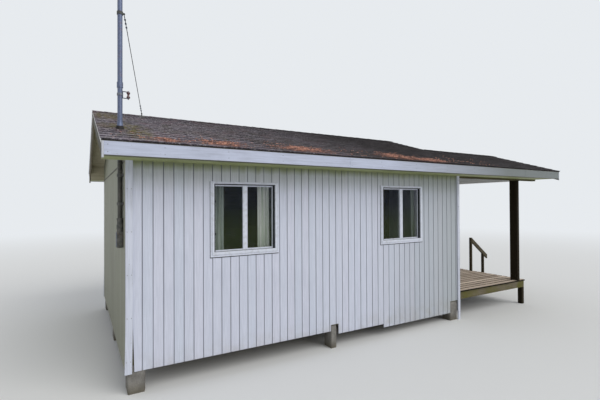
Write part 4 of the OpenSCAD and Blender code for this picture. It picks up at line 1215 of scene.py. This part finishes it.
def build_deck():
    """Separate deck boards along the ridge, slightly cupped, with nails over the joists."""
    bm, nails = toned_mesh(), bmesh.new()
    low, high = DECK_LOW, DECK_HIGH
    count, gap, nail_in, sunk = 17, 0.013, 0.022, 0.0012
    pitch = (high.y - low.y) / count
    rng = random.Random(8)
    joists = [low.x + 0.019, low.x + 0.615, low.x + 1.212, high.x - 0.031]
    for i in range(count):
        y0 = low.y + i * pitch + (gap / 2 if i else 0)
        y1 = low.y + (i + 1) * pitch - (gap / 2 if i < count - 1 else 0)
        end = high.x - rng.uniform(0, 0.006)
        tone = min(1, max(0, rng.gauss(0.55, 0.22)))

        def cup(p):
            wave = noise.noise((p.x * 2.3, i * 7.1 + (3 if p.y > (y0 + y1) / 2 else 0), 0))
            return Vector((0, 0, min(0.0, 0.0022 * wave - 0.001) if p.z > low.z + 0.012 else 0.0))
        add_plank(bm, (low.x, y0, low.z), (end, y1, high.z), "X", 8, tone, 0.006, cup)
        places = [(x, y, high.z - sunk) for x in joists for y in (y0 + nail_in, y1 - nail_in)]
        nail_heads(nails, places, (0, 0, 1), 0.0038)
    make_piece("deck_boards_laid", bm, "deck_timber", "deck_boards", "deck_timber")
    make_piece("deck_nails", nails, "iron_metal", None, "dark_iron")
    dress_eased("deck_frame", "rim_timber", "deck_timber", 0.003, 2)
    dress_eased("deck_legs", "leg_timber", "deck_timber", 0.004, 3)
    dress_eased("stair_strings", "rim_timber", "deck_timber", 0.003, 4)
    dress_eased("stair_treads", "tread_timber", "deck_timber", 0.004, 5)
    dress_eased("rail_posts", "rail_timber", "rail_timber", 0.004, 6)
    dress_eased("handrails", "handrail_timber", "rail_timber", 0.005, 7)


def build_porch():
    """Dark posts, eave beams and rafters, and the white beam across the porch's end."""
    dress_eased("porch_posts", "post_timber", "dark_timber", 0.004, 8)
    beams = eased_mesh("porch_beams", 0.003, random.Random(9))
    end_x = max(corners(group)[0].x for group in islands(beams))
    for name, white, finish, slot in (("eave_beams", False, "beam_timber", "dark_timber"),
                                      ("end_beam_white", True, "white_beam_paint", "white_trim")):
        part = beams.copy()
        others = [v for group in islands(part) if (corners(group)[0].x == end_x) != white for v in group]
        bmesh.ops.delete(part, geom=others, context="VERTS")
        make_piece(name, part, finish, "porch_beams", slot)
    beams.free()
    dress_eased("porch_rafters", "raw_timber", "dark_timber", 0.002, 10)


# Foundations and what is hidden


def build_piers():
    """Weathered concrete blocks: worn corners, uneven faces and a few broken-out chips."""
    bm = bmesh.new()
    for low, high in solid_boxes("piers"):
        add_box(bm, low, high)
    bmesh.ops.subdivide_edges(bm, edges=bm.edges, cuts=9, use_grid_fill=True)
    for number, group in enumerate(islands(bm)):
        low, high = corners(group)
        centre, half = (low + high) / 2, (high - low) / 2
        for v in group:
            d = v.co - centre
            reach = [abs(d[i]) / half[i] for i in range(3)]
            edge = max(0.0, sorted(reach)[1] - 0.86) / 0.14
            rough = noise.noise(v.co * 19) * 0.5 + noise.noise(v.co * 52) * 0.3
            chip = max(0.0, noise.noise(v.co * 13 + Vector((number, 0, 0))))
            pull = 0.0035 * (1 + rough) * 0.5 + edge * (0.006 + 0.010 * chip)
            for i in range(3):
                if reach[i] > 0.98 and not (i == 2 and d[2] < 0):
                    v.co[i] -= math.copysign(pull, d[i])
    make_piece("piers_weathered", bm, "rough_concrete", "piers", "concrete", smooth=40)


def build_hidden():
    """What is inside or under the cabin keeps its plain shape and gets bare timber."""
    for node in ("floor_beams", "floor", "front_wall", "back_wall", "ridge_boards"):
        dress_node(node, "level_timber")
    for node in ("floor_joists", "rafters", "left_wall", "right_wall_front", "right_wall_back",
                 "right_wall_over_door"):
        dress_node(node, "raw_timber")


# Service mast


def build_mast():
    """The pipe, with a coupling where its two lengths meet."""
    low, high, r = MAST_LOW.z, MAST_HIGH.z, MAST_R
    joint, coupling_r = 3.05, MAST_R + 0.0055
    profile = [(0, low), (r, low), (r, joint), (coupling_r, joint + 0.001), (coupling_r, joint + 0.055),
               (r, joint + 0.056), (r, high), (0, high)]
    bm = bmesh.new()
    add_revolve(bm, profile, upright(MAST.x, MAST.y, 0), 48)
    make_piece("mast_pipe", bm, "mast_zinc", "mast", "galvanised", smooth=35)


def build_weatherhead():
    """Hooded cap with a clamped sleeve and a dark face with three bushed holes."""
    top, r = MAST_HIGH.z, MAST_R
    bm = bmesh.new()
    sleeve = [(r + 0.001, -0.045), (r + 0.006, -0.045), (r + 0.006, -0.004), (r + 0.013, 0),
              (r + 0.013, 0.010), (r + 0.006, 0.016), (0, 0.016)]
    add_revolve(bm, sleeve, upright(MAST.x, MAST.y, top), 40)
    hood_r, hood_steps = 0.054, 12
    arc = [math.pi / 2 * i / hood_steps for i in range(hood_steps + 1)]
    hood = [(hood_r * math.cos(a), hood_r * math.sin(a) * 0.92) for a in arc]
    rim = [(0, -0.045), (0.040, -0.045), (0.042, -0.052), (0.047, -0.052), (0.050, -0.030)]
    tilt = upright(MAST.x, MAST.y - 0.020, top + 0.030) @ Matrix.Rotation(math.radians(-32), 4, "X")
    add_revolve(bm, rim + hood, tilt, 40)
    make_piece("weatherhead_cast", bm, "zinc_fittings", "weatherhead", "galvanised", smooth=35)
    face = bmesh.new()
    bushing = [(0, 0), (0.012, 0), (0.012, 0.005), (0.008, 0.007), (0.0075, 0.002), (0, 0.002)]
    back = tilt @ Matrix.Rotation(math.pi, 4, "X")
    for x, y in circle(3, 0.020, 0.5):
        add_revolve(face, bushing, back @ upright(x, y, 0.044), 20)
    make_piece("weatherhead_bushings", face, "iron_metal", None, "dark_iron", smooth=35)


def add_round_mast(bm, rows, swell=0.0, level_at=math.inf):
    """A closed ring round the mast on the roof, from rows of (distance off the pipe, height). It follows
    the roof's slope at its foot, and less and less up to a height where it is level."""
    rings = []
    for off, height in rows:
        lean = max(0.0, 1 - height / level_at) * SLOPE
        ring = []
        for x, y in circle(48):
            r = MAST_R + off + swell * noise.noise((x * 2, y * 2, 1))
            z = roof_z(MAST.y) + 0.012 + height + r * y * lean
            ring.append(bm.verts.new((MAST.x + r * x, MAST.y + r * y, z)))
        rings.append(ring)
    turn_outward(bm, bridge(bm, rings, closed=True))


def build_boot():
    """Flashing boot: its plate lies under the shingles' granules, with a tarred collar round the pipe."""
    low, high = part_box("roof_boot")
    reach = (high.x - low.x) / 2
    middle = (MAST.y - EAVE_Y) / COS
    top = high.z - roof_z(MAST.y) - 0.012
    plate, collar, seal = bmesh.new(), bmesh.new(), bmesh.new()
    add_slope_box(plate, slope_place(EAVE_Y, MID, False), (MAST.x - reach, MAST.x + reach),
                  (middle - reach, middle + reach), (0.010, 0.0122))
    make_piece("roof_boot_plate", plate, "front_shingles", "roof_boot", "galvanised")
    add_round_mast(collar, ((0.014, 0.0), (0.012, 0.006), (0.006, 0.012), (0.0035, 0.020),
                            (0.0035, top - 0.003), (0.002, top), (0.0006, top), (0.0006, 0.016)),
                   level_at=0.020)
    make_piece("roof_boot_collar", collar, "mast_zinc", None, "galvanised", smooth=35)
    add_round_mast(seal, ((0.020, -0.002), (0.018, 0.006), (0.012, 0.020), (0.0065, 0.034),
                          (0.002, 0.036), (0.002, 0.002)), swell=0.0025)
    make_piece("roof_boot_seal", seal, "roof_tar", None, "dark_iron", smooth=35)


def build_stay():
    """The stay: seven twisted strands between an eye on the mast and an anchor by the ridge."""
    points = [v.co.copy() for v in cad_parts["stay_wire"].data.vertices]
    half_way = sum(p.z for p in points) / len(points)
    foot, head = [sum(end, Vector()) / len(end) for end in
                  ([p for p in points if p.z < half_way], [p for p in points if p.z >= half_way])]
    length = (head - foot).length
    ahead = (head - foot).normalized()
    side = ahead.orthogonal().normalized()
    other = ahead.cross(side)
    strand_r, lay_length, steps = 0.00135, 0.075, 160
    bm = bmesh.new()
    add_tube(bm, [foot + ahead * length * i / 8 for i in range(9)], strand_r, 6)
    for k in range(6):
        strand = []
        for share in (i / steps for i in range(steps + 1)):
            angle = 2 * math.pi * (length / lay_length * share + k / 6)
            round_core = (side * math.cos(angle) + other * math.sin(angle)) * 2 * strand_r
            strand.append(foot + ahead * (length * share) + round_core)
        add_tube(bm, strand, strand_r, 5)
    make_piece("stay_strands", bm, "drip_edge_paint", "stay_wire", "galvanised", smooth=60)
    fittings = node_mesh("stay_fittings")
    ease(fittings, list(fittings.faces), 0.001, 1)
    make_piece("stay_ends", fittings, "iron_metal", "stay_fittings", "galvanised", smooth=40)
    grips = bmesh.new()
    grip = [(0.0043, -0.006), (0.009, -0.006), (0.010, 0), (0.009, 0.006), (0.0043, 0.006)]
    for offset in (0.06, 0.11, 0.16):
        for place in (foot + ahead * offset, head - ahead * offset):
            add_revolve(grips, grip, upright(*place) @ turned_to(ahead), 12, closed=True)
    make_piece("stay_grips", grips, "zinc_fittings", None, "galvanised", smooth=40)


def build_insulator():
    """A glazed spool between two arms of a strap that is clamped to the pipe."""
    low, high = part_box("mast_insulator")
    z = (low.z + high.z) / 2
    spool_x = high.x - 0.018
    bm, bracket = bmesh.new(), toned_mesh()
    spool = [(0, -0.030), (0.016, -0.030), (0.018, -0.026), (0.018, -0.018), (0.011, -0.009), (0.010, 0),
             (0.011, 0.009), (0.018, 0.018), (0.018, 0.026), (0.016, 0.030), (0, 0.030)]
    add_revolve(bm, spool, upright(spool_x, MAST.y, z), 32)
    make_piece("insulator_spool", bm, "brown_glaze", "mast_insulator", "porcelain", smooth=40)
    inner, outer, half_w = MAST_R + 0.0003, MAST_R + 0.005, 0.012
    band = [(inner, -half_w), (outer, -half_w), (outer, half_w), (inner, half_w)]
    add_revolve(bracket, band, upright(MAST.x, MAST.y, z), 40, closed=True)
    arm_x = MAST.x + MAST_R
    for x, low_z, high_z in ((spool_x + 0.010, -0.036, -0.031), (spool_x + 0.010, 0.031, 0.036),
                             (arm_x + 0.005, -0.036, 0.036)):
        add_board(bracket, (arm_x, MAST.y - 0.010, z + low_z), (x, MAST.y + 0.010, z + high_z), 0.5, 0.001)
    bolt = [(0, -0.044), (0.007, -0.044), (0.007, -0.037), (0.004, -0.037), (0.004, 0.037), (0.008, 0.037),
            (0.008, 0.042), (0, 0.042)]
    add_revolve(bracket, bolt, upright(spool_x, MAST.y, z), 12)
    make_piece("insulator_bracket", bracket, "zinc_fittings", None, "galvanised", smooth=40)


def build_straps():
    """Straps that hold the pipe to the end wall, each with two bolts."""
    dress_eased("mast_straps", "iron_metal", "dark_iron", 0.0012, 12)
    bolts = bmesh.new()
    bolt = [(0, 0), (0.009, 0), (0.009, 0.0018), (0.0065, 0.002), (0.0065, 0.0075), (0, 0.008)]
    for low, high in solid_boxes("mast_straps"):
        for y in (low.y + 0.015, high.y - 0.015):
            place = upright(high.x - 0.006, y, (low.z + high.z) / 2)
            add_revolve(bolts, bolt, place @ turned_to((-1, 0, 0)), 6)
    make_piece("strap_bolts", bolts, "zinc_fittings", None, "galvanised")


def build_conduit_body():
    """The cast body at the pipe's foot, with its hub and a cover with two screws."""
    low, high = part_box("conduit_body")
    top = MAST_LOW.z - 0.010
    bm, cover = bmesh.new(), bmesh.new()
    ease(bm, add_box(bm, low, (high.x, high.y, top)), 0.012, 4)
    r, hub_top = MAST_R, high.z - top
    hub = [(r + 0.0006, -0.012), (r + 0.006, -0.012), (r + 0.006, 0.020), (r + 0.009, 0.024),
           (r + 0.009, 0.062), (r + 0.005, 0.066), (r + 0.005, hub_top - 0.014), (r + 0.008, hub_top - 0.012),
           (r + 0.008, hub_top), (r + 0.0006, hub_top)]
    add_revolve(bm, hub, upright(MAST.x, MAST.y, top), 40, closed=True)
    make_piece("conduit_body_cast", bm, "iron_metal", "conduit_body", "dark_iron", smooth=35)
    plate = add_box(cover, (low.x - 0.004, low.y + 0.008, low.z + 0.010),
                    (low.x + 0.002, high.y - 0.008, top - 0.012))
    ease(cover, plate, 0.0025)
    for z in (low.z + 0.020, top - 0.022):
        place = upright(low.x - 0.004, (low.y + high.y) / 2, z) @ turned_to((-1, 0, 0))
        add_revolve(cover, [(0, 0), (0.006, 0), (0.0055, 0.002), (0, 0.0028)], place, 12)
    make_piece("conduit_cover", cover, "zinc_fittings", None, "galvanised", smooth=35)


# Stage, light and camera


def build_stage():
    """A pale floor that fades into a plain pale background."""
    radius, rings = 60.0, 24
    fade_from, fade_to = 7.0, 26.0
    f = Finish("stage_floor", 1.0, Specular_IOR_Level=0.0)
    f.surface.inputs["Base Color"].default_value = (0.78, 0.78, 0.77, 1)
    glow = f.node("Emission", BACKGROUND)
    away = f.node("VectorMath", f.place, operation="LENGTH").outputs["Value"]
    fade = f.node("MapRange", away, fade_from, fade_to, interpolation_type="SMOOTHSTEP")
    blend = f.node("MixShader", fade.outputs[0], f.surface.outputs[0], glow.outputs[0])
    f.put(f.tree.nodes["Material Output"].inputs["Surface"], blend.outputs[0])
    bm = bmesh.new()
    add_revolve(bm, [(radius * (i / rings) ** 1.6, 0.0) for i in range(rings + 1)], upright(0, 0, 0), 96)
    turn_outward(bm)
    link_mesh("stage_floor", bm, f.material)


def light_world():
    """Soft sky light all round; camera, gloss and glass see the plain background instead."""
    world = bpy.data.worlds.new("studio")
    bpy.context.scene.world = world
    world.use_nodes = True
    f = Nodes(world.node_tree)
    sky = f.tree.nodes["Background"]
    sky.inputs["Color"].default_value = (0.93, 0.96, 1.0, 1)
    sky.inputs["Strength"].default_value = 0.60
    seen = f.node("Background", BACKGROUND)
    rays = f.node("LightPath").outputs
    plain = f.larger(f.larger(rays["Is Camera Ray"], rays["Is Glossy Ray"]), rays["Is Transmission Ray"])
    blend = f.node("MixShader", plain, sky.outputs[0], seen.outputs[0])
    f.put(f.tree.nodes["World Output"].inputs["Surface"], blend.outputs[0])


def add_sun(name, towards, strength, angle, colour):
    lamp = bpy.data.lights.new(name, "SUN")
    lamp.energy = strength
    lamp.angle = math.radians(angle)
    lamp.color = colour
    obj = bpy.data.objects.new(name, lamp)
    obj.rotation_euler = Vector(towards).to_track_quat("-Z", "Y").to_euler()
    bpy.context.scene.collection.objects.link(obj)


def build_camera():
    """The camera fitted to the photograph: where it stands, how it turns, and its focal length."""
    place = Vector((-3.8965, -5.895, 1.863))
    yaw, pitch, roll = 0.5233, 0.0092, -0.0047
    focal_px, image_px = 382.7, 600
    turns = [Matrix.Rotation(angle, 4, axis)
             for angle, axis in ((-yaw, "Z"), (math.pi / 2 + pitch, "X"), (roll, "Z"))]
    data = bpy.data.cameras.new("camera")
    data.sensor_width = 36.0
    data.lens = focal_px / image_px * data.sensor_width
    camera = bpy.data.objects.new("camera", data)
    camera.matrix_world = Matrix.Translation(place) @ turns[0] @ turns[1] @ turns[2]
    bpy.context.scene.collection.objects.link(camera)
    bpy.context.scene.camera = camera


make_finishes()
build_camera()
build_piers()
build_hidden()
build_siding()
build_flashings()
build_corner_boards()
build_windows()
build_curtains()
build_door()
build_shingles()
build_ridge_caps()
build_litter()
build_roof_boards()
build_eaves()
build_deck()
build_porch()
build_mast()
build_weatherhead()
build_boot()
build_stay()
build_insulator()
build_straps()
build_conduit_body()
build_stage()
light_world()
add_sun("key", (-0.35, 0.75, -0.62), 1.50, 50, (1.0, 0.99, 0.97))
bpy.context.scene.view_settings.view_transform = "Standard"
